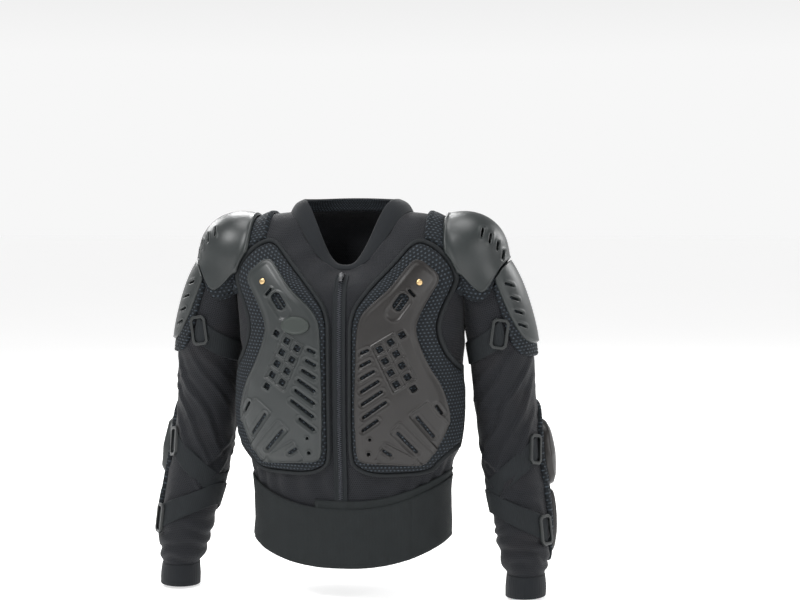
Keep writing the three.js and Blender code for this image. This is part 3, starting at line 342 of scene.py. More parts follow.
class Net:
    """Nodes of one finish."""

    def __init__(self, name, **constants):
        self.material = bpy.data.materials.new(name)
        self.material.use_nodes = True
        self.tree = self.material.node_tree
        self.shader = self.tree.nodes["Principled BSDF"]
        for socket, value in constants.items():
            self.shader.inputs[socket.replace("_", " ")].default_value = value

    def node(self, kind, settings=(), **sockets):
        """A node with its settings and the values or links of its sockets; returns its first output."""
        node = self.tree.nodes.new(kind)
        for key, value in dict(settings).items():
            setattr(node, key, value)
        for key, value in sockets.items():
            index = int(key[1:]) if key[0] == "i" and key[1:].isdigit() else key.replace("_", " ")
            self.put(node.inputs[index], value)
        self.last = node
        return Value(self, next(out for out in node.outputs if out.enabled))

    def put(self, socket, value):
        """A link or a number into a socket."""
        if isinstance(value, Value):
            self.tree.links.new(value.link, socket)
        else:
            socket.default_value = value

    def sum(self, operation, *values):
        """A Math node."""
        sockets = {f"i{index}": value for index, value in enumerate(values)}
        return self.node("ShaderNodeMath", {"operation": operation}, **sockets)

    def in_millimetres(self, link):
        """Coordinates in metres, scaled."""
        settings = {"operation": "SCALE"}
        return self.node("ShaderNodeVectorMath", settings, Vector=Value(self, link), Scale=1 / MM)

    def place(self):
        """Object coordinates in millimetres."""
        self.node("ShaderNodeTexCoord")
        return self.in_millimetres(self.last.outputs["Object"])

    def flat(self):
        """The piece's own flat coordinates, in millimetres."""
        self.node("ShaderNodeUVMap", {"uv_map": "flat"})
        self.node("ShaderNodeSeparateXYZ", Vector=self.in_millimetres(self.last.outputs[0]))
        return Value(self, self.last.outputs[0]), Value(self, self.last.outputs[1])

    def staggered(self, u, v, pitch, size=(1.0, 1.0)):
        """Coordinates in the cells of staggered rows, -1 to 1 over a share of each cell."""
        down = v / pitch[1]
        across = u / pitch[0] + self.sum("MODULO", self.sum("FLOOR", down), 2.0) * 0.5
        return [(self.sum("FRACT", at) - 0.5) * (2 / share) for at, share in zip((across, down), size)]

    def wave(self, value, pitch, shift=0.0):
        """Even waves of a pitch, 0 to 1."""
        return self.sum("SINE", value * (2 * math.pi / pitch) + shift) * 0.5 + 0.5

    def noise(self, size, detail=2.0, roughness=0.5):
        """Noise with features of a size in millimetres."""
        settings = {"Scale": 1.0 / size, "Detail": detail, "Roughness": roughness}
        return self.node("ShaderNodeTexNoise", Vector=self.place(), **settings)

    def step(self, value, low, high):
        """0 below low, 1 above high."""
        settings = {"interpolation_type": "SMOOTHSTEP"}
        return self.node("ShaderNodeMapRange", settings, i0=value, i1=low, i2=high, i3=0.0, i4=1.0)

    def mix(self, factor, low, high):
        """A colour between two."""
        self.node("ShaderNodeMix", {"data_type": "RGBA"}, i0=factor, i6=low, i7=high)
        return Value(self, self.last.outputs[2])

    def bump(self, height, distance, strength=1.0):
        """Relief of a height given in shares of a distance in millimetres."""
        normal = self.node("ShaderNodeBump", Strength=strength, Distance=distance * MM, Height=height)
        self.put(self.shader.inputs["Normal"], normal)

    def colour(self, value):
        self.put(self.shader.inputs["Base Color"], value)

    def roughness(self, value):
        self.put(self.shader.inputs["Roughness"], value)


def tone(colour, factor):
    """A colour made lighter or darker."""
    return tuple(min(c * factor, 1.0) for c in colour[:3]) + (1.0,)


FINISHES = {}


def finish_of(name):
    """A finish, made the first time that it is asked for."""
    if name not in FINISHES:
        colours = bpy.context.scene.jacket_colours
        FINISHES[name] = MAKERS[name](colours)
    return FINISHES[name]


def plastic_finish(colours, name="hard_plastic", base=None, rough=0.33):
    """Semi-matte moulded plastic with a fine grain, cloudy gloss and lighter, rougher rubbed patches at
    random.
    """
    base = colours.plastic if base is None else base
    net = Net(name, Specular_IOR_Level=0.5, IOR=1.5)
    cloud = net.noise(45, 3)
    grain = net.noise(1.3, 2)
    scuff = net.step(net.noise(9, 5, 0.7), 0.6, 0.78)
    body = net.mix(cloud, tone(base, 0.75), tone(base, 1.3))
    net.colour(net.mix(scuff * 0.25, body, tone(base, 2.0)))
    net.roughness(rough + 0.14 * cloud + 0.1 * scuff)
    net.bump(grain * 0.35 + net.noise(14, 2) * 0.9, 0.5, 0.35)
    return net.material


def foam_finish(colours, name="foam", pitch=(6.9, 5.8), grain=(0.76, 0.62)):
    """Embossed foam: staggered rows of small raised grains, lightened as painted highlight, with brighter
    painted highlights on their tops and painted shade on the low foam between them.
    """
    net = Net(name, Specular_IOR_Level=0.35)
    u, v = net.flat()
    a, b = net.staggered(u + net.noise(22, 2) * 1.6, v, pitch, grain)
    reach = net.sum("SQRT", a * a + b * b)
    raised = 1.0 - net.step(reach, 0.55, 1.05)
    top = 1.0 - net.step(reach, 0.1, 0.75)
    cloud = net.noise(40, 3)
    # The low foam between the grains is darkened: painted shade.
    shaded_ground = net.mix(cloud, tone(colours.foam, 0.28), tone(colours.foam, 0.5))
    # The raised grains are lightened: painted highlight.
    lit = net.mix(raised, shaded_ground, tone(colours.foam, 1.3))
    # Brighter spots on the grains' tops: painted highlights.
    net.colour(net.mix(top * net.step(net.noise(2.2, 2), 0.3, 0.6) * 0.7, lit, tone(colours.foam, 4.2)))
    net.roughness(0.92 - 0.25 * raised)
    net.bump(raised + net.noise(0.9, 2) * 0.12, 1.6, 0.9)
    return net.material


def fabric_finish(colours):
    """Perforated mesh knit: rows of small holes, painted near black as painted shade of the inside seen
    through them, in a slightly shiny yarn with random browner patches of painted sheen.
    """
    net = Net("mesh_fabric", Specular_IOR_Level=0.28, Sheen_Weight=0.06, Sheen_Roughness=0.5)
    u, v = net.flat()
    a, b = net.staggered(u, v, (3.9, 3.1))
    hole = 1.0 - net.step(a * a + b * b, 0.16, 0.5)
    # Random browner patches of the yarn: painted sheen.
    sheen_patch_mask = net.step(net.noise(75, 2, 0.4), 0.5, 0.68)
    yarn = net.mix(sheen_patch_mask, colours.fabric[:] + (1.0,), colours.sheen_brown[:] + (1.0,))
    yarn = net.mix(net.noise(1.1, 2), yarn, tone(colours.fabric, 1.7))
    # The holes are painted near black: painted shade of the inside seen through them.
    net.colour(net.mix(hole * 0.85, yarn, tone(colours.fabric, 0.25)))
    net.roughness(0.72 + 0.2 * hole)
    net.bump(1.0 - hole + net.noise(0.8, 1) * 0.2, 0.7, 0.8)
    return net.material


def knit_finish(colours):
    """Smooth stretch knit with very fine ribs."""
    net = Net("collar_knit", Specular_IOR_Level=0.25, Sheen_Weight=0.08, Sheen_Roughness=0.6)
    u, v = net.flat()
    cloud = net.noise(30, 3)
    net.colour(net.mix(cloud, tone(colours.knit, 0.8), tone(colours.knit, 1.25)))
    net.roughness(0.78 + 0.12 * cloud)
    net.bump(net.wave(u, 2.6) * 0.8 + net.wave(v, 1.9) * 0.3, 0.5, 0.5)
    return net.material


def elastic_finish(colours, name="elastic", rib_pitch=2.4, weft=1.3, base=None):
    """Woven elastic: fine upright cords crossed by a flat weft."""
    base = colours.elastic if base is None else base
    net = Net(name, Specular_IOR_Level=0.3)
    u, v = net.flat()
    cord = net.wave(u, rib_pitch)
    cross = net.wave(v, weft, net.sum("FLOOR", u / (rib_pitch / 2)) * math.pi)
    cloud = net.noise(26, 3)
    fluff = net.step(net.noise(1.4, 3, 0.7), 0.62, 0.75)
    body = net.mix(cloud * 0.7 + cord * cross * 0.3, tone(base, 0.72), tone(base, 1.3))
    net.colour(net.mix(fluff * 0.3, body, tone(base, 2.4)))
    net.roughness(0.8 + 0.1 * cord)
    net.bump(cord * 0.6 + cross * 0.5, 0.5, 0.6)
    return net.material


def binding_finish(colours):
    """Folded edge binding with a fine and a coarser grain."""
    net = Net("binding", Specular_IOR_Level=0.3)
    fine = net.noise(0.9, 2)
    cloud = net.noise(25, 3)
    net.colour(net.mix(cloud * 0.6 + fine * 0.4, tone(colours.binding, 0.7), tone(colours.binding, 1.5)))
    net.roughness(0.72 + 0.14 * fine)
    net.bump(fine * 0.5 + net.noise(2.6, 1) * 0.6, 0.5, 0.7)
    return net.material


def metal_finish(colours, name, base, rough, metallic):
    """Metal with cloudy gloss and small dents."""
    net = Net(name, Metallic=metallic)
    cloud = net.noise(3, 3)
    net.colour(net.mix(cloud, tone(base, 0.75), tone(base, 1.2)))
    net.roughness(rough + 0.15 * cloud)
    net.bump(net.noise(1.2, 2), 0.15, 0.5)
    return net.material


MAKERS = {
    "hard_plastic": plastic_finish,
    # Darker brown plastic: the spine plates' own tone, and on the plus side's paired plates painted shade of
    # the side away from the key light.
    "warm_plastic": lambda c: plastic_finish(c, "warm_plastic", base=c.warm_plastic, rough=0.3),
    "buckle_plastic": lambda c: plastic_finish(c, "buckle_plastic", base=tone(c.plastic, 0.62), rough=0.36),
    "badge_plastic": lambda c: plastic_finish(c, "badge_plastic", base=c.badge, rough=0.5),
    "foam": foam_finish,
    "back_foam": lambda c: foam_finish(c, "back_foam", (6.6, 10.5), (0.66, 0.8)),
    "lining": lambda c: foam_finish(c, "lining", (5.2, 4.2), (0.8, 0.7)),
    "mesh_fabric": fabric_finish,
    "collar_knit": knit_finish,
    "elastic": elastic_finish,
    "webbing": lambda c: elastic_finish(c, "webbing", 3.4, 1.6, c.webbing),
    "binding": binding_finish,
    "brass": lambda c: metal_finish(c, "brass", c.brass, 0.24, 1.0),
    "zip_metal": lambda c: metal_finish(c, "zip_metal", c.zip_metal, 0.3, 0.85),
    "slider_metal": lambda c: metal_finish(c, "slider_metal", tone(c.zip_metal, 0.25), 0.34, 0.6),
}


# Meshes: each is worked on as a net
@contextmanager
def editing(mesh):
    """The net of a mesh, written back at the end."""
    net = bmesh.new()
    net.from_mesh(mesh)
    yield net
    net.to_mesh(mesh)
    net.free()


def linked(name, data):
    """A new object of the scene."""
    made = bpy.data.objects.new(name, data)
    bpy.context.scene.collection.objects.link(made)
    return made


def smoothed(mesh):
    """Shades a mesh smoothly."""
    mesh.polygons.foreach_set("use_smooth", np.ones(len(mesh.polygons), bool))


def lay_flat(mesh, flat):
    """Gives the corners of a mesh the flat coordinates of its points."""
    corner = np.empty(len(mesh.loops), np.int32)
    mesh.loops.foreach_get("vertex_index", corner)
    layer = mesh.uv_layers.new(name="flat")
    layer.data.foreach_set("uv", flat[corner].astype(np.float32).ravel())


# Skins: nets of cells on a form, cut along a distance function
TURN_NUDGE, ROW_NUDGE = 1e-4, 1e-3
SAME_SPOT = 0.05 * MM
ALL_ROUND = (0.0, 1.0)


def evened(path, start, end):
    """Places along a path, and the length of the path up to each."""
    at = np.linspace(start, end, 240)
    points = path(at)
    length = np.concatenate([[0], np.cumsum(np.linalg.norm(np.diff(points, axis=0), axis=1))])
    return at, length


def skin(name, form, turns, rows, cell, inside, top, low=None, look=0.0, flat_of=None):
    """A mesh on a form: inside gives the distance to its edge, top and low its outer and its rim's lift."""
    cut_reach, edge_reach, longest_move = 0.7 * cell, 1.7 * cell, 1.5 * cell
    mid_turn, mid_row = sum(turns) / 2, sum(rows) / 2
    turn_at, turn_length = evened(lambda t: form(t, np.full_like(t, mid_row)), *turns)
    row_steps, row_length = evened(lambda r: form(np.full_like(r, mid_turn), r), *rows)
    net = bmesh.new()
    counts = [max(2, math.ceil(length[-1] / cell)) for length in (turn_length, row_length)]
    bmesh.ops.create_grid(net, x_segments=counts[0], y_segments=counts[1], size=0.5)
    flat = np.array([v.co[:2] for v in net.verts]) + 0.5
    turn = np.interp(flat[:, 0] * turn_length[-1], turn_length, turn_at)
    row = np.interp(flat[:, 1] * row_length[-1], row_length, row_steps)

    def distance(t, r):
        return inside(lifted(form, t, r, look), t, r)

    if inside is not None:
        keep = distance(turn, row) < cut_reach
        for vert, t, r in zip(net.verts, turn, row):
            vert.co = (t, r, 0)
        bmesh.ops.delete(net, geom=[v for v, k in zip(net.verts, keep) if not k], context="VERTS")
        bmesh.ops.delete(net, geom=[v for v in net.verts if not v.link_faces], context="VERTS")
        turn = np.array([v.co.x for v in net.verts])
        row = np.array([v.co.y for v in net.verts])
        edge = np.array([v.is_boundary for v in net.verts])
        edge &= np.abs(distance(turn, row)) < edge_reach
        t, r = turn[edge], row[edge]
        for _ in range(4):
            here = distance(t, r)
            dt = (distance(t + TURN_NUDGE, r) - here) / TURN_NUDGE
            dr = (distance(t, r + ROW_NUDGE) - here) / ROW_NUDGE
            st = np.linalg.norm(form(t + 1e-3, r) - form(t, r), axis=1) / 1e-3
            sr = np.linalg.norm(form(t, r + 1e-2) - form(t, r), axis=1) / 1e-2
            gt, gr = dt / st, dr / sr
            move = np.clip(here / np.maximum(gt * gt + gr * gr, 0.05), -longest_move, longest_move)
            t, r = t - move * gt / st, r - move * gr / sr
        turn[edge], row[edge] = t, r
    for vert, t, r in zip(net.verts, turn, row):
        vert.co = (t, r, 0)
    tops = len(net.verts)
    if low is not None:
        bmesh.ops.extrude_edge_only(net, edges=[e for e in net.edges if e.is_boundary])
        turn = np.array([v.co.x for v in net.verts])
        row = np.array([v.co.y for v in net.verts])
    bmesh.ops.reverse_faces(net, faces=net.faces[:])
    mesh = bpy.data.meshes.new(name)
    net.to_mesh(mesh)
    net.free()
    base, out = form(turn, row), normals(form, turn, row)
    seen = base + out * look
    gap = inside(seen, turn, row) if inside is not None else np.full(len(turn), -1e3)
    lift = top(seen, turn, row, gap) if callable(top) else np.full(len(turn), float(top))
    if low is not None:
        lift[tops:] = low
    place = (base + out * lift[:, None]) * MM
    mesh.vertices.foreach_set("co", place.astype(np.float32).ravel())
    flat = np.stack([np.interp(turn, turn_at, turn_length), -np.interp(row, row_steps, row_length)], 1) * MM
    if flat_of is not None:
        flat = flat_of(base) * MM
    lay_flat(mesh, flat)
    if turns == ALL_ROUND:
        # The two ends of the net meet and are joined
        with editing(mesh) as net:
            bmesh.ops.remove_doubles(net, verts=net.verts[:], dist=SAME_SPOT)
    smoothed(mesh)
    mesh.update()
    return linked(name, mesh)


def mirrored(piece, name):
    """The same piece on the other side."""
    mesh = piece.data.copy()
    mesh.name = name
    with editing(mesh) as net:
        bmesh.ops.scale(net, vec=(-1, 1, 1), verts=net.verts[:])
        bmesh.ops.reverse_faces(net, faces=net.faces[:])
    twin = linked(name, mesh)
    for wall in piece.modifiers:
        walled(twin, wall.thickness / MM)
    return twin


def dress(piece, finish, slot, *nodes):
    """Gives a piece its finish and its body, and hides the model's parts of the nodes that it stands for."""
    piece.data.materials.clear()
    piece.data.materials.append(finish_of(finish))
    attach(piece, "root")
    if nodes:
        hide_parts(*nodes)
    return piece


def pair(piece, name, finish, slot, node, warm=None):
    """Dresses a plus-side piece and makes and dresses its twin; a warm finish, if given, goes to the
    plus-side piece alone, as painted shade of the side away from the key light.
    """
    twin = mirrored(piece, f"{name}_left")
    dress(piece, warm or finish, slot, *([f"{node}_right"] if node else []))
    dress(twin, finish, slot, *([f"{node}_left"] if node else []))
    return piece, twin


def walled(piece, thickness):
    """Gives a sheet its wall, inwards."""
    wall = piece.modifiers.new("wall", "SOLIDIFY")
    wall.thickness = thickness * MM
    wall.offset = -1


def sheet_of(piece, width, length):
    """Works out a sheet's scale over the flat size of its cut, and keeps nothing."""
    area = sum(face.area for face in piece.data.polygons)
    scale = max(1.0, math.sqrt(area / (width * length)) * 1.001)
    length * scale


# Search trees of two forms: the form, its points round it and down it, and its last row
TREE_FORMS = {"trunk": (trunk, 96, 80, 13), "sleeve": (sleeve, 48, 90, 11)}
TREES = {}


def tree_of(name):
    """The search tree of the trunk or the plus-side sleeve, made the first time that it is asked for."""
    if name not in TREES:
        form, around, down, last = TREE_FORMS[name]
        grid = form(*np.meshgrid(np.linspace(0, 1, around, endpoint=False), np.linspace(0, last, down)))
        faces = []
        for i in range(0, (down - 1) * around, around):
            for j in range(around):
                k = (j + 1) % around
                faces.append([i + j, i + around + j, i + around + k, i + k])
        TREES[name] = BVHTree.FromPolygons([Vector(p) for p in grid.reshape(-1, 3)], faces)
    return TREES[name]


def off(name, points):
    """Distance of points off the trunk or the plus-side sleeve, negative inside it."""
    tree = tree_of(name)
    result = np.empty(len(points))
    for i, point in enumerate(points):
        spot, normal, _, length = tree.find_nearest(Vector(point))
        result[i] = length if (Vector(point) - spot).dot(normal) > 0 else -length
    return result


# Sizes and colours that a user may change
def length_property(name, description, default):
    """A length that a user may change."""
    return FloatProperty(name=name, description=description, default=default, unit="LENGTH")


class JacketSizes(bpy.types.PropertyGroup):
    """Sizes of the jacket's relief, in metres."""

    plate: length_property("Plate thickness", "Wall of the hard plates", 0.0036)
    pad: length_property("Chest pad", "Thickness of the chest foam", 0.009)
    back_pad: length_property("Back pad", "Thickness of the back foam", 0.014)
    piping: length_property("Piping width", "Width of the edge binding", 0.008)
    folds: length_property("Fold height", "Height of the fabric's folds", 0.0036)
    guard_foam: length_property("Guard foam", "Foam under the guards", 0.007)
    strap: length_property("Strap width", "Width of the arm straps", 0.04)


def colour_property(name, description, default):
    """A colour that a user may change."""
    kind = {"subtype": "COLOR", "min": 0, "max": 1}
    return FloatVectorProperty(name=name, description=description, default=default, **kind)


class JacketColours(bpy.types.PropertyGroup):
    """Base colours of the finishes."""

    plastic: colour_property("Plastic", "Hard plates", (0.0125, 0.016, 0.0162))
    # Darker brown plastic: the spine plates' own tone, and on the plus side's paired plates painted shade.
    warm_plastic: colour_property("Warm plastic", "Hard plates on the warm side", (0.0088, 0.0074, 0.0068))
    badge: colour_property("Oval boss", "Plain oval on one chest plate", (0.018, 0.024, 0.021))
    foam: colour_property("Foam", "Embossed foam", (0.0135, 0.0185, 0.024))
    fabric: colour_property("Mesh fabric", "Perforated fabric", (0.0044, 0.0052, 0.0074))
    # Browner colour of the fabric's random patches: painted sheen.
    sheen_brown: colour_property("Stretched fabric", "Fabric where it is stretched", (0.0088, 0.0076, 0.0088))
    knit: colour_property("Knit", "Collar and cuffs", (0.005, 0.0065, 0.0086))
    elastic: colour_property("Elastic", "Waist belt", (0.0098, 0.0122, 0.013))
    webbing: colour_property("Webbing", "Straps and zip tape", (0.0098, 0.012, 0.0138))
    binding: colour_property("Binding", "Edge binding", (0.0088, 0.0105, 0.0118))
    brass: colour_property("Brass", "Rivets", (0.66, 0.47, 0.24))
    zip_metal: colour_property("Zip metal", "Zip teeth and slider", (0.07, 0.074, 0.085))


def sizes():
    """The sizes of the scene, in millimetres."""
    held = bpy.context.scene.jacket_sizes
    return {key: getattr(held, key) / MM for key in JacketSizes.__annotations__}


# Pieces
CHEST_PAD = [
    (0.676, 0.072), (0.556, 0.078), (0.42, 0.138), (0.19, 0.223), (0.073, 0.285), (0.07, 0.69), (0.11, 0.722),
    (0.259, 0.745), (0.74, 0.742), (0.81, 0.705), (1.08, 0.64), (1.15, 0.56), (1.12, 0.485), (0.93, 0.43),
    (0.81, 0.35), (0.82, 0.29), (0.95, 0.2), (0.94, 0.165), (0.85, 0.112),
]
CHEST_PLATE = [
    (0.615, 0.12), (0.405, 0.215), (0.302, 0.245), (0.185, 0.283), (0.151, 0.322), (0.13, 0.547),
    (0.143, 0.682), (0.18, 0.702), (0.676, 0.713), (0.727, 0.698), (0.837, 0.64), (0.9, 0.583),
    (0.833, 0.488), (0.727, 0.428), (0.635, 0.35), (0.628, 0.307), (0.727, 0.238), (0.833, 0.18),
]
# Vents of the chest plate: place in shares, length in millimetres and turn in degrees
VENTS = [
    (0.59, 0.225, 15, -48), (0.22, 0.387, 15, 25), (0.226, 0.42, 20, 28), (0.244, 0.451, 27, 30),
    (0.262, 0.484, 36, 33), (0.278, 0.516, 42, 34), (0.299, 0.549, 48, 35), (0.262, 0.593, 33, 36),
    (0.8, 0.553, 19, -58), (0.7, 0.6, 46, -53), (0.556, 0.643, 48, -48), (0.395, 0.672, 17, -34),
]
SQUARES = [
    (0.341 + cell * 0.088 + row * 0.044, 0.38 - cell * 0.02 + row * 0.0325)
    for row, cells in enumerate([(0, 1, 2), (0, 1), (0, 1), (0, 1), (1,)])
    for cell in cells
]
SQUARES_MIDDLE, SQUARES_TURN = (84, -251), 32
WINDOW, WINDOW_TURN = (103.5, -150), 55
# Pockets of the plate: place, length, width and turn in degrees, and corner
CHEST_POCKETS = [
    ((161, -367), 100, 38, -53, 4), ((131, -399), 110, 25.5, -48, 4), ((95, -415), 60, 36, -30, 4),
]
BADGE_PLACE, BADGE_HALF = (-72.5, -190), (24.5, 15)


class JACKET_OT_chest(bpy.types.Operator):
    """Chest pads, their binding, the vented plates, the oval boss and the brass rivets"""

    bl_idname = "jacket.chest"
    bl_label = "Chest armour"

    def execute(self, context):
        size = sizes()
        outer = area_of(rounded(shares(CHEST_PAD), 16))
        band = size["piping"]

        def border(p):
            return np.maximum(outer(p[:, 0], p[:, 2]), p[:, 1] - SIDE_SEAM)

        def pad_edge(p, t, r):
            return np.maximum(border(p) + band, 1.5 - off("sleeve", p))

        def pad_top(p, t, r, gap):
            return GAP + (size["pad"] - GAP) * (0.35 + 0.65 * rim(gap, 6)) - 0.8 * hump(gap + 4, 2)

        spread = (0.73, 1.005), (0.4, 11.2)
        pad = skin("chest_foam_right", trunk, *spread, 2.3, pad_edge, pad_top, GAP, look=5)
        for piece in pair(pad, "chest_foam", "foam", "foam", "chest_pad"):
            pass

        def piping_edge(p, t, r):
            d = border(p)
            return np.maximum(np.maximum(d, -d - band), 1.0 - off("sleeve", p))

        def piping_top(p, t, r, gap):
            d = border(p)
            return GAP + 6.2 * roll(d, band) + 0.8 - 0.9 * hump(d + band * 0.62, 0.9)

        binding = skin("chest_binding_right", trunk, *spread, 1.4, piping_edge, piping_top, GAP, look=3)
        pair(binding, "chest_binding", "binding", "binding", "chest_piping")

        plate_line = area_of(rounded(shares(CHEST_PLATE), 10))
        vents = [(*shares([row[:2]]), *row[2:]) for row in VENTS]
        openings = [(place, length + 1, 4.6, turn) for place, length, turn in vents]
        openings += [(place, 10.5, 10.5, SQUARES_TURN, 1.5) for place in shares(SQUARES)]
        openings += [((53, -379), 5, 5), ((50.5, -404), 6, 6)]

        def holes(x, z):
            strut = bar(x, z, (100.5, -153), 22, 1.8, WINDOW_TURN)
            window = np.maximum(bar(x, z, WINDOW, 30, 17, WINDOW_TURN, 7), -strut)
            return np.minimum(bars(x, z, openings), window)

        def plate_edge(p, t, r):
            return np.maximum(plate_line(p[:, 0], p[:, 2]), -holes(p[:, 0], p[:, 2]))

        base = size["pad"] + GAP

        def plate_top(p, t, r, gap):
            x, z = p[:, 0], p[:, 2]
            d = plate_line(x, z)
            high = size["plate"] * (0.25 + 0.75 * rim(d, 4)) + 2.1 * hump(d + 1.6, 1.5)
            high += 1.6 * smooth(-4, -13, d)
            high += 1.1 * hump(holes(x, z) - 1.6, 2.0)
            # The grid of squares sits in a framed, slightly slanting field between thin ribs
            a, b = turned(x, z, SQUARES_MIDDLE, SQUARES_TURN)
            a = a - (b - 27.6) * 0.127
            field = bar(a, b, (11, -4.4), 43.5, 85.4, 0, 2)
            high -= 2.0 * smooth(1.5, -1.5, field)
            share = (b - 38.2) / 21.3
            ribs = np.maximum(hump(np.abs(share - np.round(share)) * 21.3, 2.0), hump(np.abs(a - 11), 1.8))
            high += 2.6 * ribs * smooth(1, -1, field) + 2.4 * hump(field, 2.0)
            # Recess round the window and the raised oval seat
            recess = bar(x, z, (99.5, -158), 49, 27, WINDOW_TURN, 11)
            high -= 2.2 * smooth(2, -5, recess) - 0.7 * hump(recess - 1, 2.5)
            # Three flat pockets step down to the lower corner
            pocket = bars(x, z, CHEST_POCKETS)
            high += 0.8 * hump(pocket - 1.5, 2.5) - 2.8 * smooth(2.2, -2.8, pocket)
            for place, length, turn in vents[1:]:
                dish = bar(x, z, place, length + 9, 12, turn)
                high -= 1.9 * smooth(1.5, -3.5, dish) - 0.7 * hump(dish - 1.2, 2.4)
            high += 0.35 * wobble(p, 55, 4)
            return base + np.maximum(high, 0.7)

        low = base - 0.2
        plate = skin("chest_shell_right", trunk, *spread, 1.25, plate_edge, plate_top, low, look=base + 2)
        pair(plate, "chest_shell", "hard_plastic", "hard_plastic", "chest_plate", warm="warm_plastic")

        def badge_edge(p, t, r):
            across, down = (p[:, [0, 2]] - BADGE_PLACE).T
            return BADGE_HALF[1] * (np.hypot(across / BADGE_HALF[0], down / BADGE_HALF[1]) - 1)

        def badge_top(p, t, r, gap):
            return base + size["plate"] + 3.6 + 1.9 * rim(gap, 2.5) - 0.8 * smooth(-2.5, -4.5, gap)

        spread = (0.5, 0.77), (2, 8)
        badge = skin("oval_boss", trunk, *spread, 1.0, badge_edge, badge_top, base + 1, look=base + 4)
        dress(badge, "badge_plastic", "hard_plastic", "oval_badge")
        lift = base + size["plate"] + 2.0
        rivets("chest_rivet_right", [(134, -117)], "front", lift, 5.6, 3.4, "brass", "chest_rivet")
        return {"FINISHED"}


def seat_on(form, turn, row, lift):
    """Place and axes of a spot on a form: along it, down it and outwards."""
    t, r = np.array([turn]), np.array([row])
    origin = lifted(form, t, r, lift)[0]
    out = normals(form, t, r)[0]
    down = (form(t, r + 0.01) - form(t, r - 0.01))[0]
    down = down / np.linalg.norm(down)
    along = np.cross(down, out)
    return Matrix(np.vstack([np.column_stack([along, down, out, origin]), [0, 0, 0, 1]]).tolist())


def find(form, x, z, face, lift=0.0):
    """Turn and row of a trunk point seen at a place from the front or the back."""
    t = np.linspace(0.5, 1.0, 140) if face == "front" else np.linspace(0.0, 0.5, 140)
    r = np.linspace(0.0, 13, 200)
    tt, rr = np.meshgrid(t, r)
    p = lifted(form, tt, rr, lift)
    best = np.argmin((p[..., 0] - x) ** 2 + (p[..., 2] - z) ** 2)
    turn, row = tt.ravel()[best], rr.ravel()[best]
    for _ in range(6):
        here = lifted(form, np.array([turn]), np.array([row]), lift)[0]
        dt = (lifted(form, np.array([turn + TURN_NUDGE]), np.array([row]), lift)[0] - here) / TURN_NUDGE
        dr = (lifted(form, np.array([turn]), np.array([row + ROW_NUDGE]), lift)[0] - here) / ROW_NUDGE
        grid = np.array([[dt[0], dr[0]], [dt[2], dr[2]]])
        turn, row = np.array([turn, row]) - np.linalg.solve(grid, [here[0] - x, here[2] - z])
    return turn, row


def stud(net, matrix, radius, height, dimple=True):
    """A round rivet head, with or without a small hollow in its middle."""
    made = bmesh.ops.create_uvsphere(net, u_segments=14, v_segments=8, radius=1)["verts"]
    for vert in made:
        reach = math.hypot(vert.co.x, vert.co.y)
        hollow = 0.45 * height * max(0, 1 - reach / 0.45) if dimple and vert.co.z > 0 else 0
        vert.co.z = max(vert.co.z, 0) * height - hollow
        vert.co.x *= radius
        vert.co.y *= radius
    bmesh.ops.transform(net, matrix=matrix, verts=made)


def joined(name, fill):
    """A piece filled by a function that adds to an empty mesh, in millimetres."""
    mesh = bpy.data.meshes.new(name)
    with editing(mesh) as net:
        fill(net)
        bmesh.ops.scale(net, vec=(MM, MM, MM), verts=net.verts[:])
    smoothed(mesh)
    spots = np.empty(len(mesh.vertices) * 3, np.float32)
    mesh.vertices.foreach_get("co", spots)
    lay_flat(mesh, spots.reshape(-1, 3)[:, [0, 2]])
    return linked(name, mesh)


def rivets(name, places, face, lift, radius, height, finish, node=None, both=True):
    """Rivet heads on the chest or the back, and their twins."""

    def fill(net):
        for place in places:
            turn, row = find(trunk, place[0], place[1], face, lift)
            stud(net, seat_on(trunk, turn, row, lift), radius, height, finish == "brass")

    piece = joined(name, fill)
    slot = "brass" if finish == "brass" else "hard_plastic"
    if not both:
        return dress(piece, finish, slot)
    return pair(piece, name.replace("_right", ""), finish, slot, node)


class JACKET_OT_fabric(bpy.types.Operator):
    """Mesh fabric of the body, and the hollow armholes"""

    bl_idname = "jacket.fabric"
    bl_label = "Body fabric"

    def execute(self, context):
        size = sizes()

        def edge(p, t, r):
            hem = FABRIC_HEM - p[:, 2]
            arm = np.maximum(-off("sleeve", p), -off("sleeve", p * (-1, 1, 1))) - 4
            # Before the sleeve's first ring there is nothing to cut
            before = (149 - np.abs(p[:, 0])) * 0.951 + (p[:, 2] + 65) * 0.309
            return np.maximum(hem, np.minimum(arm, -before))

        def top(p, t, r, gap):
            x, y, z = p[:, 0], p[:, 1], p[:, 2]
            fold = np.zeros(len(p))
            # Upright folds where the waist is drawn in
            waist = smooth(-400, -450, z) * smooth(-490, -470, z)
            fold += waist * np.sin(t * 2 * math.pi * 26 + 1.6 * wobble(p, 160, 5)) * 0.55
            # Slanting folds from the shoulders to the top of the zip
            yoke = smooth(-150, -90, z) * (y < 0)
            run = (np.abs(x) * 0.5 + z) / 17 + 0.9 * wobble(p, 90, 7)
            fold += yoke * (np.abs(np.sin(run)) ** 3) * 0.55
            side = smooth(150, 190, np.abs(x)) * smooth(-170, -230, z)
            fold += side * np.sin((z + 0.6 * y) / 13 + wobble(p, 70, 9) * 1.4) * 0.45
            return fold * size["folds"] * smooth(0, -8, gap) - 0.3

        piece = skin("body_fabric", trunk, ALL_ROUND, (-0.12, 12.4), 5.0, edge, top)
        walled(piece, 2.3)
        dress(piece, "mesh_fabric", "mesh_fabric", "mesh_body")
        sheet_of(piece, 1.14, 0.6)
        return {"FINISHED"}


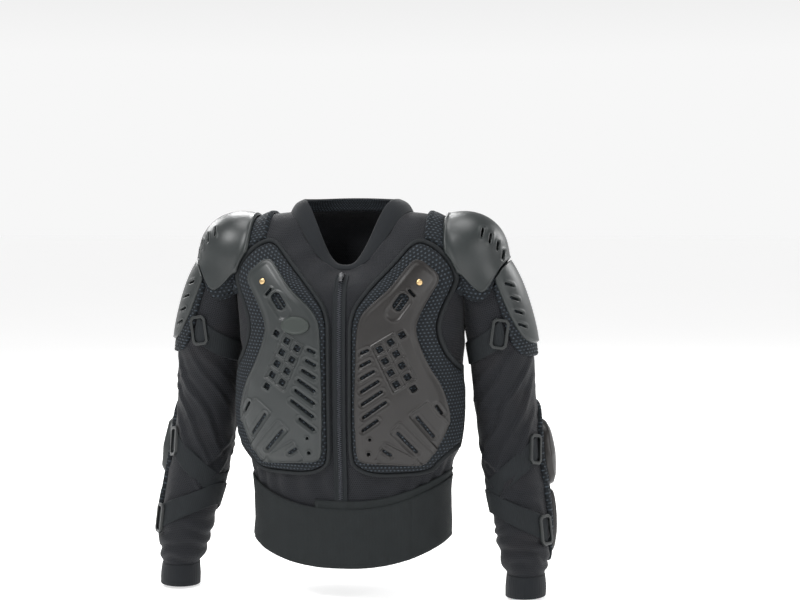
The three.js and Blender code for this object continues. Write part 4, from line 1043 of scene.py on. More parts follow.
# Ends of the sleeve's long folds round it and down it, with their height share and half width
SLEEVE_PULLS = [
    ((-20, -238), (-150, -440), 1.3, 5.0), ((-8, -268), (-128, -462), 1.1, 4.5),
    ((-52, -230), (-160, -372), 0.9, 4.5), ((-16, -330), (-120, -496), 1.0, 5.0),
    ((-75, -236), (-168, -330), 0.8, 5.0), ((-30, -400), (-140, -520), 0.9, 4.0),
    ((60, -232), (96, -330), 1.0, 5.0), ((84, -228), (120, -350), 1.2, 5.0),
    ((112, -240), (140, -372), 1.0, 5.0), ((138, -262), (158, -420), 0.9, 5.0),
    ((100, -370), (168, -440), 1.1, 5.5), ((92, -400), (168, -480), 1.0, 5.0),
    ((-168, -400), (-96, -452), 1.0, 5.0), ((-168, -436), (-90, -500), 0.9, 5.0),
]


class JACKET_OT_sleeves(bpy.types.Operator):
    """Mesh sleeves with their folds, and the ribbed cuffs"""

    bl_idname = "jacket.sleeves"
    bl_label = "Sleeves"

    def execute(self, context):
        size = sizes()
        for name, seed in (("right", 21), ("left", 45)):

            def edge(p, t, r):
                return np.maximum(CUFF_TOP - p[:, 2], 0.5 - off("trunk", p))

            def top(p, t, r, gap, seed=seed):
                s = ((t + 0.5) % 1 - 0.5) * AROUND
                z = p[:, 2]
                warp = wobble(p, 85, seed)
                round_wave = np.abs(np.sin((z + 60 * np.sin(t * 2 * math.pi)) / 15 + 1.5 * warp)) ** 2.5
                scrunch = smooth(-520, -560, z) * smooth(-640, -600, z)
                low = np.abs(np.sin((z + 7 * np.sin(t * 4 * math.pi + seed)) / 8.5 + 1.2 * warp)) ** 1.5
                patches = 0.35 + 0.65 * smooth(-0.2, 0.6, wobble(p, 120, seed + 1))
                fold = 0.55 * round_wave * smooth(-230, -300, z) * patches
                fold = fold * (1 - scrunch) + 1.35 * low * scrunch
                # Long slanting pulls from the guard to the inner elbow
                fold += creases(s + 4 * warp, z, SLEEVE_PULLS)
                return fold * size["folds"] * smooth(0, -12, gap) - 0.6

            piece = skin(f"sleeve_fabric_{name}", sleeve, ALL_ROUND, (1.0, 10.9), 3.5, edge, top)
            if name == "left":
                twin = mirrored(piece, f"sleeve_fabric_{name}")
                bpy.data.objects.remove(piece)
                twin.name = f"sleeve_fabric_{name}"
                piece = twin
            walled(piece, 1.8)
            dress(piece, "mesh_fabric", "mesh_fabric", f"mesh_sleeve_{name}")
            sheet_of(piece, 0.36, 0.58)

        def cuff_edge(p, t, r):
            return p[:, 2] - CUFF_TOP - 2

        def cuff_top(p, t, r, gap):
            rib = np.sin(t * 2 * math.pi * 42) * 0.35
            bulge = 1.2 * np.sin(np.clip((CUFF_TOP - p[:, 2]) / 34, 0, 1) * math.pi)
            return 1.0 + bulge + rib * smooth(0, -3, gap)

        cuff = skin("cuff_knit_right", sleeve, ALL_ROUND, (9.9, 11.0), 1.9, cuff_edge, cuff_top)
        walled(cuff, 3.2)
        for piece in pair(cuff, "cuff_knit", "collar_knit", "collar_knit", "cuff"):
            sheet_of(piece, 0.2, 0.04)
        return {"FINISHED"}


class JACKET_OT_collar(bpy.types.Operator):
    """Stand-up knit collar with its lining and hanger loop"""

    bl_idname = "jacket.collar"
    bl_label = "Collar"

    def execute(self, context):
        def top(p, t, r, gap):
            fold = 0.8 * wobble(p, 60, 31) * smooth(-10, -60, p[:, 2])
            return 0.4 + 1.2 * np.sin(np.clip(r / 2, 0, 1) * math.pi) + fold

        piece = skin("collar_band", neck, ALL_ROUND, (0.0, 2.0), 2.4, None, top)
        walled(piece, 2.8)
        dress(piece, "collar_knit", "collar_knit", "collar")
        sheet_of(piece, 0.5, 0.05)

        lining = skin("collar_lining", neck, ALL_ROUND, (0.05, 1.9), 2.4, None, -3.4)
        with editing(lining.data) as net:
            bmesh.ops.reverse_faces(net, faces=net.faces[:])
        walled(lining, 1.2)
        dress(lining, "lining", "foam")
        sheet_of(lining, 0.5, 0.05)

        def loop_edge(p, t, r):
            whole = bar(p[:, 0], p[:, 2], (0, -8), 34, 9, 0, 4)
            return np.maximum(whole, -bar(p[:, 0], p[:, 2], (0, -8), 26, 3.4, 0, 1.5))

        def loop_top(p, t, r, gap):
            return 1.4 + 1.5 * rim(gap, 1.2)

        loop = skin("hanging_loop", trunk, (0.2, 0.3), (0.0, 1.6), 0.9, loop_edge, loop_top, 0.3, look=2)
        dress(loop, "webbing", "webbing", "hanger_loop")
        return {"FINISHED"}


class JACKET_OT_zip(bpy.types.Operator):
    """Front zip: tape, teeth and slider"""

    bl_idname = "jacket.zip"
    bl_label = "Zip"

    def execute(self, context):
        ends = (-106, -489)

        def edge(p, t, r):
            return bar(p[:, 0], p[:, 2], (0, sum(ends) / 2), 22, ends[0] - ends[1], 0, 1)

        def top(p, t, r, gap):
            x = np.abs(p[:, 0])
            return 1.2 + 0.9 * hump(x - 10, 2) - 0.5 * hump(x - 7.6, 0.9) + 1.0 * smooth(5, 3.4, x)

        tape = skin("zip_tape", trunk, (0.72, 0.78), (0.0, 12.5), 1.1, edge, top, 0.3, look=2)
        dress(tape, "webbing", "webbing", "zip")

        def teeth(net):
            pitch = 1.75
            rows = np.linspace(0, 13, 3000)
            path = lifted(trunk, np.full_like(rows, 0.75), rows, 2.6)
            out = normals(trunk, np.full_like(rows, 0.75), rows)
            for k in range(int((ends[0] - ends[1] - 6) / pitch)):
                z = ends[0] - 4 - pitch * k
                i = np.argmin(np.abs(path[:, 2] - z))
                side = 1 if k % 2 else -1
                axes = Matrix.Translation(Vector(path[i]) + Vector((side * 1.3, 0, 0)))
                tilt = Vector(out[i]).to_track_quat("Y", "Z").to_matrix().to_4x4()
                made = bmesh.ops.create_cube(net, size=1)["verts"]
                bmesh.ops.scale(net, vec=(3.6, 1.7, 1.25), verts=made)
                bmesh.ops.transform(net, matrix=axes @ tilt, verts=made)

        dress(joined("zip_teeth", teeth), "zip_metal", "webbing")

        def slider(net):
            turn, row = find(trunk, 0, -111, "front")
            seat = seat_on(trunk, turn, row, 4.6)
            blocks = ((0, 0, 0), (9, 12, 3.4)), ((0, -1, 2.2), (4, 7, 2.4)), ((0, 11, 2.6), (7, 19, 1.8))
            for spot, scale in blocks:
                made = bmesh.ops.create_cube(net, size=1)["verts"]
                bmesh.ops.scale(net, vec=scale, verts=made)
                bmesh.ops.translate(net, vec=spot, verts=made)
                bmesh.ops.transform(net, matrix=seat, verts=made)
            bmesh.ops.bevel(net, geom=net.edges[:], offset=0.6, segments=2, profile=0.5, affect="EDGES")

        dress(joined("zip_slider", slider), "slider_metal", "zip_metal", "zip_pull")
        return {"FINISHED"}


BACK_PAD = [
    (0, 0.024), (0.25, 0.028), (0.5, 0.042), (0.72, 0.08), (0.82, 0.14), (0.81, 0.207), (0.77, 0.312),
    (0.82, 0.388), (0.86, 0.473), (0.86, 0.6), (0.76, 0.72), (0.52, 0.92), (0.45, 0.94), (0, 0.945),
]
NECK_FLANGE = [
    (0, 0.04), (0.06, 0.043), (0.12, 0.056), (0.17, 0.074), (0.225, 0.104), (0.268, 0.138), (0.287, 0.172),
    (0.28, 0.195), (0.23, 0.205),
]
NECK_DOME = [(0, 0.064), (0.05, 0.07), (0.097, 0.09), (0.15, 0.12), (0.2, 0.154), (0.223, 0.196)]
NECK_PANEL = [(0, 0.09), (0.04, 0.095), (0.085, 0.115), (0.12, 0.142), (0.137, 0.174)]
WING_PLATE = [
    (0.275, 0.204), (0.52, 0.098), (0.57, 0.098), (0.745, 0.14), (0.556, 0.275), (0.473, 0.315),
    (0.335, 0.323),
]
KIDNEY_PLATE = [(0.48, 0.46), (0.56, 0.455), (0.795, 0.485), (0.75, 0.667), (0.48, 0.703)]
SPINE_TOP, SPINE_PITCH, SPINE_HALF, SPINE_FLANGE = 0.3265, 0.121, 88, 15
# Where the round of the back pad ends at the side
BACK_EDGE = 25


def spine_top(number):
    """Height of the upper edge of a spine plate, counted from 0."""
    return -(SPINE_TOP + number * SPINE_PITCH) * TRUNK_HEIGHT


def belt_line(t, edge):
    """Height of a belt edge at a turn, from its heights at the front, side and back."""
    s = np.sin(t * 2 * math.pi)
    middle = np.where(s < 0, edge[0], edge[2])
    return -TRUNK_HEIGHT * (edge[1] * (1 - s * s) + middle * s * s)


BELT_TOP = (0.835, 0.76, 0.745)
BELT_HEM = (1.003, 0.94, 0.97)


class JACKET_OT_back(bpy.types.Operator):
    """Back pad, its binding, the neck dome, the wing plate, the spine plates and the side plates"""

    bl_idname = "jacket.back"
    bl_label = "Back armour"

    def execute(self, context):
        size = sizes()
        high = size["back_pad"]
        band = size["piping"]
        outer = area_of(rounded(both_sides(BACK_PAD), 22))

        def pad_edge(p, t, r):
            return np.maximum(outer(p[:, 0], p[:, 2]) + band, BACK_EDGE - p[:, 1])

        def pad_top(p, t, r, gap):
            return GAP + (high - GAP) * (0.4 + 0.6 * rim(outer(p[:, 0], p[:, 2]) + band, 9))

        spread = (0.0, 0.5), (0.0, 12.7)
        pad = skin("back_foam_pad", trunk, *spread, 2.9, pad_edge, pad_top, GAP, look=9)
        dress(pad, "back_foam", "foam", "back_pad")

        def ring_edge(p, t, r):
            d = outer(p[:, 0], p[:, 2])
            return np.maximum(np.maximum(d, -d - band), BACK_EDGE - p[:, 1])

        def ring_top(p, t, r, gap):
            d = outer(p[:, 0], p[:, 2])
            return GAP + 0.8 + (high - 4) * roll(d, band) - 0.8 * hump(d + band * 0.6, 0.9)

        ring = skin("back_binding", trunk, *spread, 1.7, ring_edge, ring_top, GAP, look=6)
        dress(ring, "binding", "binding", "back_piping")
        base = high + GAP

        def plate(name, line_of, cell, relief, holes=None, turns=(0.02, 0.48)):
            def edge(p, t, r):
                d = line_of(p[:, 0], p[:, 2])
                return d if holes is None else np.maximum(d, -holes(p[:, 0], p[:, 2]))

            def top(p, t, r, gap):
                x, z = p[:, 0], p[:, 2]
                d = line_of(x, z)
                up = size["plate"] * (0.2 + 0.8 * rim(d, 4)) + relief(x, z, d)
                if holes is not None:
                    up += 0.8 * hump(holes(x, z) - 1.4, 2.0)
                return base + np.maximum(up + 0.25 * wobble(p, 60, 8), 0.6)

            return skin(name, trunk, turns, (0.0, 12), cell, edge, top, base - 0.2, look=base + 3)

        flange = area_of(rounded(both_sides(NECK_FLANGE), 6))
        shield = plate("neck_shield", flange, 1.3, lambda x, z, d: 0.8 * hump(d + 2, 2))
        dress(shield, "hard_plastic", "hard_plastic", "neck_flange")
        dome = area_of(rounded(both_sides(NECK_DOME), 6))
        deep = area_of(rounded(both_sides(NECK_PANEL), 8))

        def dome_relief(x, z, d):
            ridge = 1.4 * hump(deep(x, z) - 1, 4) - 1.8 * smooth(2, -5, deep(x, z))
            return 17 * rim(d, 34) ** 0.75 + ridge

        dress(plate("neck_bell", dome, 1.3, dome_relief), "hard_plastic", "hard_plastic", "neck_dome")

        wing = area_of(rounded(both_sides(WING_PLATE), 10))

        def wing_holes(x, z):
            return bars(np.abs(x), z, [((100.5, -108.5), 13, 11, 50, 2), ((88, -127.5), 15, 12, 50, 5)])

        def wing_relief(x, z, d):
            block = bar(x, z, (0, -160), 141, 62, 0, 7)
            sunk = bar(x, z, (0, -158), 106, 41, 0, 15)
            recess = bar(np.abs(x), z, (93, -119), 52, 26, 52, 10)
            up = 4.4 * smooth(2, -5, block) - 3.4 * smooth(2, -5, sunk) + 1.8 * hump(sunk - 1.5, 4)
            return up - 3.0 * smooth(1, -6, recess) + 1.2 * hump(recess - 1, 3.5) + 3.4 * smooth(-3, -20, d)

        made = plate("wing_shell", wing, 1.4, wing_relief, wing_holes)
        dress(made, "hard_plastic", "hard_plastic", "wing_plate")

        for number in range(4):
            top_z, foot_z = spine_top(number), spine_top(number + 1) + 0.6
            middle = (0, (top_z + foot_z) / 2)
            tall = top_z - foot_z

            def spine_line(x, z, middle=middle, tall=tall):
                return bar(x, z, middle, 2 * SPINE_HALF, tall - 1.0, 0, 5)

            def spine_relief(x, z, d, middle=middle, tall=tall):
                block = bar(x, z, middle, 2 * (SPINE_HALF - SPINE_FLANGE), tall - 2, 0, 5)
                sunk = bar(x, z, (0, middle[1] - 1), 108, tall - 24, 0, 12)
                low = 1.4 * smooth(middle[1] - tall * 0.2, middle[1] - tall / 2, z)
                up = 6.0 * smooth(1.5, -6, block) - 2.8 * smooth(3, -7, sunk) + 1.1 * hump(sunk - 3, 5)
                return up + low * smooth(1, -4, block)

            made = plate(f"spine_shell_{number + 1}", spine_line, 1.6, spine_relief)
            dress(made, "warm_plastic", "hard_plastic", f"spine_plate_{number + 1}")

        kidney = area_of(rounded(shares(KIDNEY_PLATE), 8))
        rungs = [(127, -(0.51 + 0.0245 * i) * TRUNK_HEIGHT) for i in range(7)]
        openings = [(place, 20, 5.2, 8) for place in rungs[:-1]] + [(rungs[-1], 6, 6)]

        def kidney_holes(x, z):
            return bars(x, z, openings)

        def kidney_relief(x, z, d):
            return 3.2 * smooth(-3, -8, d) + 1.2 * hump(d + 8.5, 3) - 3.0 * smooth(-12, -17, d)

        side = plate("kidney_shell_right", kidney, 1.3, kidney_relief, kidney_holes, (0.0, 0.25))
        pair(side, "kidney_shell", "hard_plastic", "hard_plastic", "kidney_plate", warm="warm_plastic")

        lift = base + size["plate"]
        rivets("wing_rivet_right", [(118, -89)], "back", lift + 2.2, 5.6, 3.2, "brass", "wing_rivet")
        dark = [(77, -107), (134, -112), (79, -190), (49, -98)]
        for number in range(4):
            dark += [(80.5, spine_top(number) - 9), (80.5, spine_top(number + 1) + 10)]
        dark += [(105, -281), (154, -296), (148, -391), (104, -412)]
        rivets("dark_rivets_right", dark, "back", lift, 4.4, 4.2, "buckle_plastic")
        rivets("dark_rivet_top", [(0, -29)], "back", lift, 4.4, 4.2, "buckle_plastic", both=False)
        return {"FINISHED"}


class JACKET_OT_belt(bpy.types.Operator):
    """Elastic waist belt, its under layer and its seam"""

    bl_idname = "jacket.belt"
    bl_label = "Waist belt"

    def execute(self, context):
        low = GAP + 2.2 + GAP

        def edge(p, t, r):
            return np.maximum(p[:, 2] - belt_line(t, BELT_TOP), belt_line(t, BELT_HEM) - p[:, 2])

        def top(p, t, r, gap):
            wave = 1.3 * wobble(p, 130, 51) * smooth(0, -30, gap) + 0.5 * wobble(p, 45, 52)
            seam = np.abs(p[:, 0] - 118) + 40 * (p[:, 1] > 0)
            rows = 0.35 * hump(gap + 4, 1.1) + 0.35 * hump(gap + 6.5, 1.1)
            seams = 0.6 * hump(seam - 4, 3) - 0.9 * hump(seam, 2.2) - rows
            return low + 2.2 + wave + 1.2 * rim(gap, 1.5) + seams

        piece = skin("waist_belt", trunk, ALL_ROUND, (9.5, 13.0), 3.4, edge, top, look=4)
        walled(piece, 3.0)
        dress(piece, "elastic", "elastic", "kidney_belt")
        sheet_of(piece, 1.08, 0.13)

        def under_edge(p, t, r):
            up = p[:, 2] - belt_line(t, BELT_TOP)
            return np.maximum(np.maximum(np.maximum(up - 13, -24 - up), -45 - p[:, 0]), p[:, 1])

        def under_top(p, t, r, gap):
            end = smooth(-12, -30, p[:, 0])
            return 2.4 + 1.3 * rim(gap, 1.5) + 1.8 * end * hump(gap + 5, 4)

        spread = (0.66, 1.0), (8.5, 13.0)
        under = skin("belt_under_layer", trunk, *spread, 1.6, under_edge, under_top, 0.4, look=1.5)
        dress(under, "elastic", "elastic", "belt_overlap")
        sheet_of(under, 0.3, 0.037)
        return {"FINISHED"}


# Shoulder form: rays from inside the shoulder to the trunk and the sleeve
SHOULDER_MIDDLE = np.array([172.0, 0.0, -84.0])
SHOULDER_AXIS = np.array([0.78, 0.0, 0.626])
SHOULDER_SIDE = np.array([0.0, -1.0, 0.0])
SHOULDER_DOWN = np.cross(SHOULDER_AXIS, SHOULDER_SIDE)
SHOULDER_REACH = 2.3
# Distance where there is nothing to cut
FAR = 1e3
SHOULDER_STEPS = 150
# Length from which rays are sent back to the shoulder form's middle, and the shortest of its rays
RAY_LENGTH, SHORTEST_RAY = 170, 25
# Height of the cup over the plain form, and how softly its dome runs into it
CUP_LIFT, CUP_SOFTNESS = 12.6, 6
CUP_MIDDLE = np.array([0.966 * CHEST_HALF_WIDTH, 0, -0.113 * TRUNK_HEIGHT])
CUP_SIZE = np.array([75.0, 72.0, 70.0])


def shoulder_way(p, q):
    """Direction of a ray of the shoulder form."""
    angle = np.maximum(np.hypot(p, q), 1e-9)
    side = np.outer((p / angle).ravel(), SHOULDER_SIDE) + np.outer((q / angle).ravel(), SHOULDER_DOWN)
    flat = np.cos(angle).ravel()[:, None] * SHOULDER_AXIS + np.sin(angle).ravel()[:, None] * side
    return flat.reshape(np.shape(p) + (3,))


def blurred(grid, times):
    """A grid of numbers with each made more like its neighbours."""
    for _ in range(times):
        wide = np.pad(grid, 1, mode="edge")
        around = wide[:-2, 1:-1] + wide[2:, 1:-1] + wide[1:-1, :-2] + wide[1:-1, 2:]
        grid = (wide[1:-1, 1:-1] * 4 + around) / 8
    return grid


def reach_grid(cup):
    """Length of the rays of the shoulder form, with or without the cup's dome."""
    at = np.linspace(-SHOULDER_REACH, SHOULDER_REACH, SHOULDER_STEPS)
    p, q = np.meshgrid(at, at, indexing="ij")
    ways = shoulder_way(p, q).reshape(-1, 3)
    reach = np.zeros(len(ways))
    start = Vector(SHOULDER_MIDDLE)
    for i, way in enumerate(ways):
        far = Vector(way)
        for name in ("trunk", "sleeve"):
            hit = tree_of(name).ray_cast(start + far * RAY_LENGTH, -far, RAY_LENGTH)
            if hit[0] is not None:
                reach[i] = max(reach[i], RAY_LENGTH - hit[3])
    reach = blurred(np.maximum(reach.reshape(p.shape), SHORTEST_RAY), 10)
    if cup:
        centre = (SHOULDER_MIDDLE - CUP_MIDDLE) / CUP_SIZE
        scaled = ways / CUP_SIZE
        a = (scaled**2).sum(1)
        b = (scaled * centre).sum(1)
        c = (centre**2).sum() - 1
        dome = ((-b + np.sqrt(np.maximum(b * b - a * c, 0))) / a).reshape(p.shape)
        points = shoulder_way(p, q) * reach[..., None]
        out = np.cross(np.gradient(points, axis=0), np.gradient(points, axis=1))
        out /= np.maximum(np.linalg.norm(out, axis=-1, keepdims=True), 1e-9)
        facing = np.abs((out * shoulder_way(p, q)).sum(-1))
        plain = reach + CUP_LIFT / np.maximum(facing, 0.4)
        both = np.exp(plain / CUP_SOFTNESS) + np.exp(dome / CUP_SOFTNESS)
        reach = blurred(np.log(both) * CUP_SOFTNESS - 1.0, 3)
    return reach


def shoulder_form(grid):
    """Surface of the shoulder from its grid of ray lengths."""

    def steps_to(value):
        share = (value + SHOULDER_REACH) / (2 * SHOULDER_REACH)
        steps = np.clip(share * (SHOULDER_STEPS - 1), 0, SHOULDER_STEPS - 1.001)
        return np.floor(steps).astype(int), steps - np.floor(steps)

    def point(t, r):
        p, q = -np.asarray(t, float), np.asarray(r, float)
        (i, a), (j, b) = steps_to(p), steps_to(q)
        near = grid[i, j] * (1 - a) * (1 - b) + grid[i + 1, j] * a * (1 - b)
        reach = near + grid[i, j + 1] * (1 - a) * b + grid[i + 1, j + 1] * a * b
        return SHOULDER_MIDDLE + shoulder_way(p, q) * reach[..., None]

    return point


FOAM_OUTLINE = [
    (0.66, -0.05), (0.68, 0.15), (0.83, 0.2), (1.06, 0.262), (1.2, 0.24), (1.3, 0.13), (1.5, 0.1),
    (1.5, -0.05),
]
CUP_OUTLINE = [
    (0.81, -0.05), (0.82, 0.085), (0.85, 0.125), (0.96, 0.18), (1.1, 0.228), (1.165, 0.226), (1.22, 0.2),
    (1.335, 0.128), (1.5, 0.118), (1.5, -0.05),
]
CUP_SLOTS = [(1.135, 0.058), (1.2, 0.074), (1.258, 0.096), (1.3, 0.122)]


class JACKET_OT_shoulders(bpy.types.Operator):
    """Shoulder foam and the domed shoulder cups"""

    bl_idname = "jacket.shoulders"
    bl_label = "Shoulder guards"

    def execute(self, context):
        size = sizes()
        foam_high = GAP + size["guard_foam"]
        outline = area_of(rounded(shares(FOAM_OUTLINE), 14))
        front_pad = area_of(rounded(shares(CHEST_PAD), 16))
        back_pad = area_of(rounded(both_sides(BACK_PAD), 22))

        def pads_free(p):
            front = np.where(p[:, 1] < 0, front_pad(p[:, 0], p[:, 2]), 50)
            back = np.where(p[:, 1] > 0, back_pad(p[:, 0], p[:, 2]), 50)
            return 0.8 - np.minimum(front, back)

        def foam_edge(p, t, r):
            return np.maximum(outline(p[:, 0], p[:, 2]), pads_free(p))

        def foam_top(p, t, r, gap):
            return 0.8 + foam_high * (0.3 + 0.7 * rim(gap, 4)) - 1.8 * hump(gap + 7.5, 1.6)

        def unrolled(p):
            return np.stack([p[:, 0], 85 * np.arctan2(-p[:, 1], p[:, 2] + 84)], 1)

        plain = shoulder_form(reach_grid(False))
        spread = (-2.1, 2.1), (-1.9, 1.9)
        shape = foam_edge, foam_top, -0.5
        foam = skin("shoulder_pad_right", plain, *spread, 1.8, *shape, look=4, flat_of=unrolled)
        for piece in pair(foam, "shoulder_pad", "foam", "foam", "shoulder_foam"):
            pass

        cup_line = area_of(rounded(shares(CUP_OUTLINE), 16))
        openings = [(place, 18, 4.2, 84) for place in shares(CUP_SLOTS)]

        def slots(p):
            return np.where(np.abs(p[:, 1]) > 12, bars(p[:, 0], p[:, 2], openings), FAR)

        def cup_edge(p, t, r):
            return np.maximum(np.maximum(cup_line(p[:, 0], p[:, 2]), -slots(p)), pads_free(p))

        def cup_top(p, t, r, gap):
            d = cup_line(p[:, 0], p[:, 2])
            return 3.6 * (rim(d, 4) - 1) + 1.0 * hump(d + 2.5, 2.2) + 0.8 * hump(slots(p) - 2, 3)

        domed = shoulder_form(reach_grid(True))
        cup = skin("shoulder_shell_right", domed, *spread, 1.9, cup_edge, cup_top, -4.2)
        pair(cup, "shoulder_shell", "hard_plastic", "hard_plastic", "shoulder_cup")
        return {"FINISHED"}


# Guards of the arm: outlines in millimetres round the sleeve and down it
def guard_outline(rows):
    """Outline from rows of how far down, where the middle is and how wide."""
    right = [((middle + half) * AROUND, -down * ARM_LENGTH) for down, middle, half in rows]
    left = [((middle - half) * AROUND, -down * ARM_LENGTH) for down, middle, half in reversed(rows)]
    return right + left


def on_arm(t, r):
    """Places round the sleeve and down it, in millimetres."""
    t = (np.asarray(t) + 0.5) % 1.0 - 0.5
    return t * AROUND, -ARM_LENGTH * column(SLEEVE["down"], r)


BICEP_FOAM = [(0.13, 0, 0.16), (0.22, 0, 0.19), (0.33, 0, 0.19), (0.38, 0, 0.17), (0.408, 0, 0.1)]
BICEP_PLATE = [
    (0.13, 0, 0.1), (0.165, 0, 0.15), (0.2, 0, 0.175), (0.26, 0, 0.175), (0.33, 0, 0.15), (0.375, 0, 0.1),
]
ELBOW_FOAM = [
    (0.53, 0.13, 0.07), (0.58, 0.13, 0.15), (0.7, 0.13, 0.19), (0.85, 0.13, 0.17), (0.95, 0.12, 0.13),
    (0.975, 0.12, 0.08),
]
ELBOW_CUP = [
    (0.59, 0.13, 0.06), (0.62, 0.13, 0.13), (0.69, 0.13, 0.16), (0.75, 0.13, 0.14), (0.78, 0.13, 0.08),
]
FOREARM_PLATE = [(0.785, 0.13, 0.1), (0.82, 0.13, 0.115), (0.9, 0.12, 0.1), (0.955, 0.12, 0.06)]
BICEP_STRAP = table("turn down", (0.21, 0.315), (0.35, 0.355), (0.5, 0.385), (0.65, 0.37), (0.8, 0.33))
UPPER_STRAP = table("turn down", (0.335, 0.72), (0.45, 0.765), (0.6, 0.765), (0.8, 0.7), (0.93, 0.655))
LOWER_STRAP = table("turn down", (0.32, 0.87), (0.45, 0.81), (0.6, 0.8), (0.8, 0.85), (0.93, 0.885))
# Turns and rows of the sleeve that the guards lie on
GUARD_SPREAD = (-0.3, 0.42), (1.2, 10)


class JACKET_OT_guards(bpy.types.Operator):
    """Foam and hard guards of the upper arm, the elbow and the forearm"""

    bl_idname = "jacket.guards"
    bl_label = "Arm guards"

    def execute(self, context):
        size = sizes()
        foam_high = GAP + size["guard_foam"]
        base = foam_high + GAP
        shoulder = area_of(rounded(shares(FOAM_OUTLINE), 14))
        cup = area_of(rounded(shares(CUP_OUTLINE), 16))

        def bicep_free(p):
            return 0.5 - np.minimum(shoulder(p[:, 0], p[:, 2]), off("trunk", p))

        def foam(name, rows, node, free=None):
            outline = area_of(rounded(guard_outline(rows), 14))

            def edge(p, t, r):
                d = outline(*on_arm(t, r))
                return d if free is None else np.maximum(d, free(p))

            def top(p, t, r, gap):
                seams = 1.6 * hump(gap + 6.5, 1.4) + 0.9 * hump(gap + 11.5, 1.2)
                return GAP + foam_high * (0.3 + 0.7 * rim(gap, 3.5)) - seams

            piece = skin(f"{name}_right", sleeve, *GUARD_SPREAD, 1.7, edge, top, 0.2, look=3)
            for made in pair(piece, name, "foam", "foam", node):
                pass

        foam("bicep_pad", BICEP_FOAM, "bicep_foam", bicep_free)
        foam("elbow_pad", ELBOW_FOAM, "elbow_foam")

        def shell(name, rows, node, crown, slots, free=None, warm=None):
            outline = area_of(rounded(guard_outline(rows), 14))
            middle = rows[len(rows) // 2][1] * AROUND
            centre = -ARM_LENGTH * (rows[0][0] + rows[-1][0]) / 2
            half = ARM_LENGTH * (rows[-1][0] - rows[0][0]) / 2
            downs, halves = [row[0] for row in rows], [row[2] for row in rows]
            openings = [
                ((middle + offset, -down * ARM_LENGTH), 17, 4.4, turn) for offset, down, turn in slots
            ]

            def holes(s, z):
                return bars(s, z, openings)

            def edge(p, t, r):
                s, z = on_arm(t, r)
                d = np.maximum(outline(s, z), -holes(s, z))
                return d if free is None else np.maximum(d, free(p))

            def top(p, t, r, gap):
                s, z = on_arm(t, r)
                d = outline(s, z)
                width = np.interp(-z / ARM_LENGTH, downs, halves) * AROUND
                a = np.clip(1 - ((s - middle) / width) ** 2, 0, 1)
                b = np.clip(1 - ((z - centre) / half) ** 2, 0, 1)
                dome = crown * np.sqrt(a * b)
                up = size["plate"] * (0.2 + 0.8 * rim(d, 4)) + 0.9 * hump(d + 2.4, 2.4)
                return base + up + dome + 0.8 * hump(holes(s, z) - 1.8, 2.4)

            piece = skin(f"{name}_right", sleeve, *GUARD_SPREAD, 1.4, edge, top, base - 0.3, look=base)
            pair(piece, name, "hard_plastic", "hard_plastic", node, warm=warm)

        # Slots: place beside the middle, place down the arm and turn in degrees
        slots = [(side * 41, down, side * 30) for down in (0.225, 0.258, 0.291, 0.324) for side in (-1, 1)]
        shell("bicep_shell", BICEP_PLATE, "bicep_plate", 3, slots, lambda p: 0.6 - cup(p[:, 0], p[:, 2]))
        slots = [(17, down, 8) for down in (0.665, 0.69, 0.715)]
        shell("elbow_shell", ELBOW_CUP, "elbow_cup", 18, slots, warm="warm_plastic")
        slots = [(10, down, 8) for down in (0.84, 0.87)]
        shell("forearm_shell", FOREARM_PLATE, "forearm_plate", 5, slots, warm="warm_plastic")
        return {"FINISHED"}


class JACKET_OT_straps(bpy.types.Operator):
    """Arm straps and their buckles"""

    bl_idname = "jacket.straps"
    bl_label = "Straps and buckles"

    def execute(self, context):
        size = sizes()
        half = size["strap"] / 2

        def strap(name, path, low, node):
            ends = path["turn"][0], path["turn"][-1]

            def middle(t):
                return -ARM_LENGTH * column(path["down"], row_at(path["turn"], np.clip(t, *ends)))

            def edge(p, t, r):
                z = -ARM_LENGTH * column(SLEEVE["down"], r)
                slope = (middle(t + 0.01) - middle(t)) / (0.01 * AROUND)
                band = (np.abs(z - middle(t)) - half) / np.sqrt(1 + slope**2)
                return np.maximum(np.maximum(band, (ends[0] - t) * AROUND), (t - ends[1]) * AROUND)

            def top(p, t, r, gap):
                return low + 1.2 + 1.2 * rim(gap, 1.3) - 0.5 * hump(gap + 3.4, 0.9) + 0.5 * wobble(p, 50, 61)

            spread = (ends[0] - 0.02, ends[1] + 0.02), (2.5, 10.5)
            piece = skin(f"{name}_right", sleeve, *spread, 1.4, edge, top, low - 0.2, look=low)
            for made in pair(piece, name, "webbing", "webbing", node):
                sheet_of(made, 0.2, 2 * half * MM)

        strap("bicep_band", BICEP_STRAP, GAP, "bicep_strap")
        strap("upper_band", UPPER_STRAP, GAP, "forearm_strap_upper")
        strap("lower_band", LOWER_STRAP, 2 * GAP + 2.2, "forearm_strap_lower")
        for node in ("bicep_buckle", "forearm_buckle_upper", "forearm_buckle_lower"):
            for side in ("left", "right"):
                buckle(f"{node}_{side}")
        return {"FINISHED"}


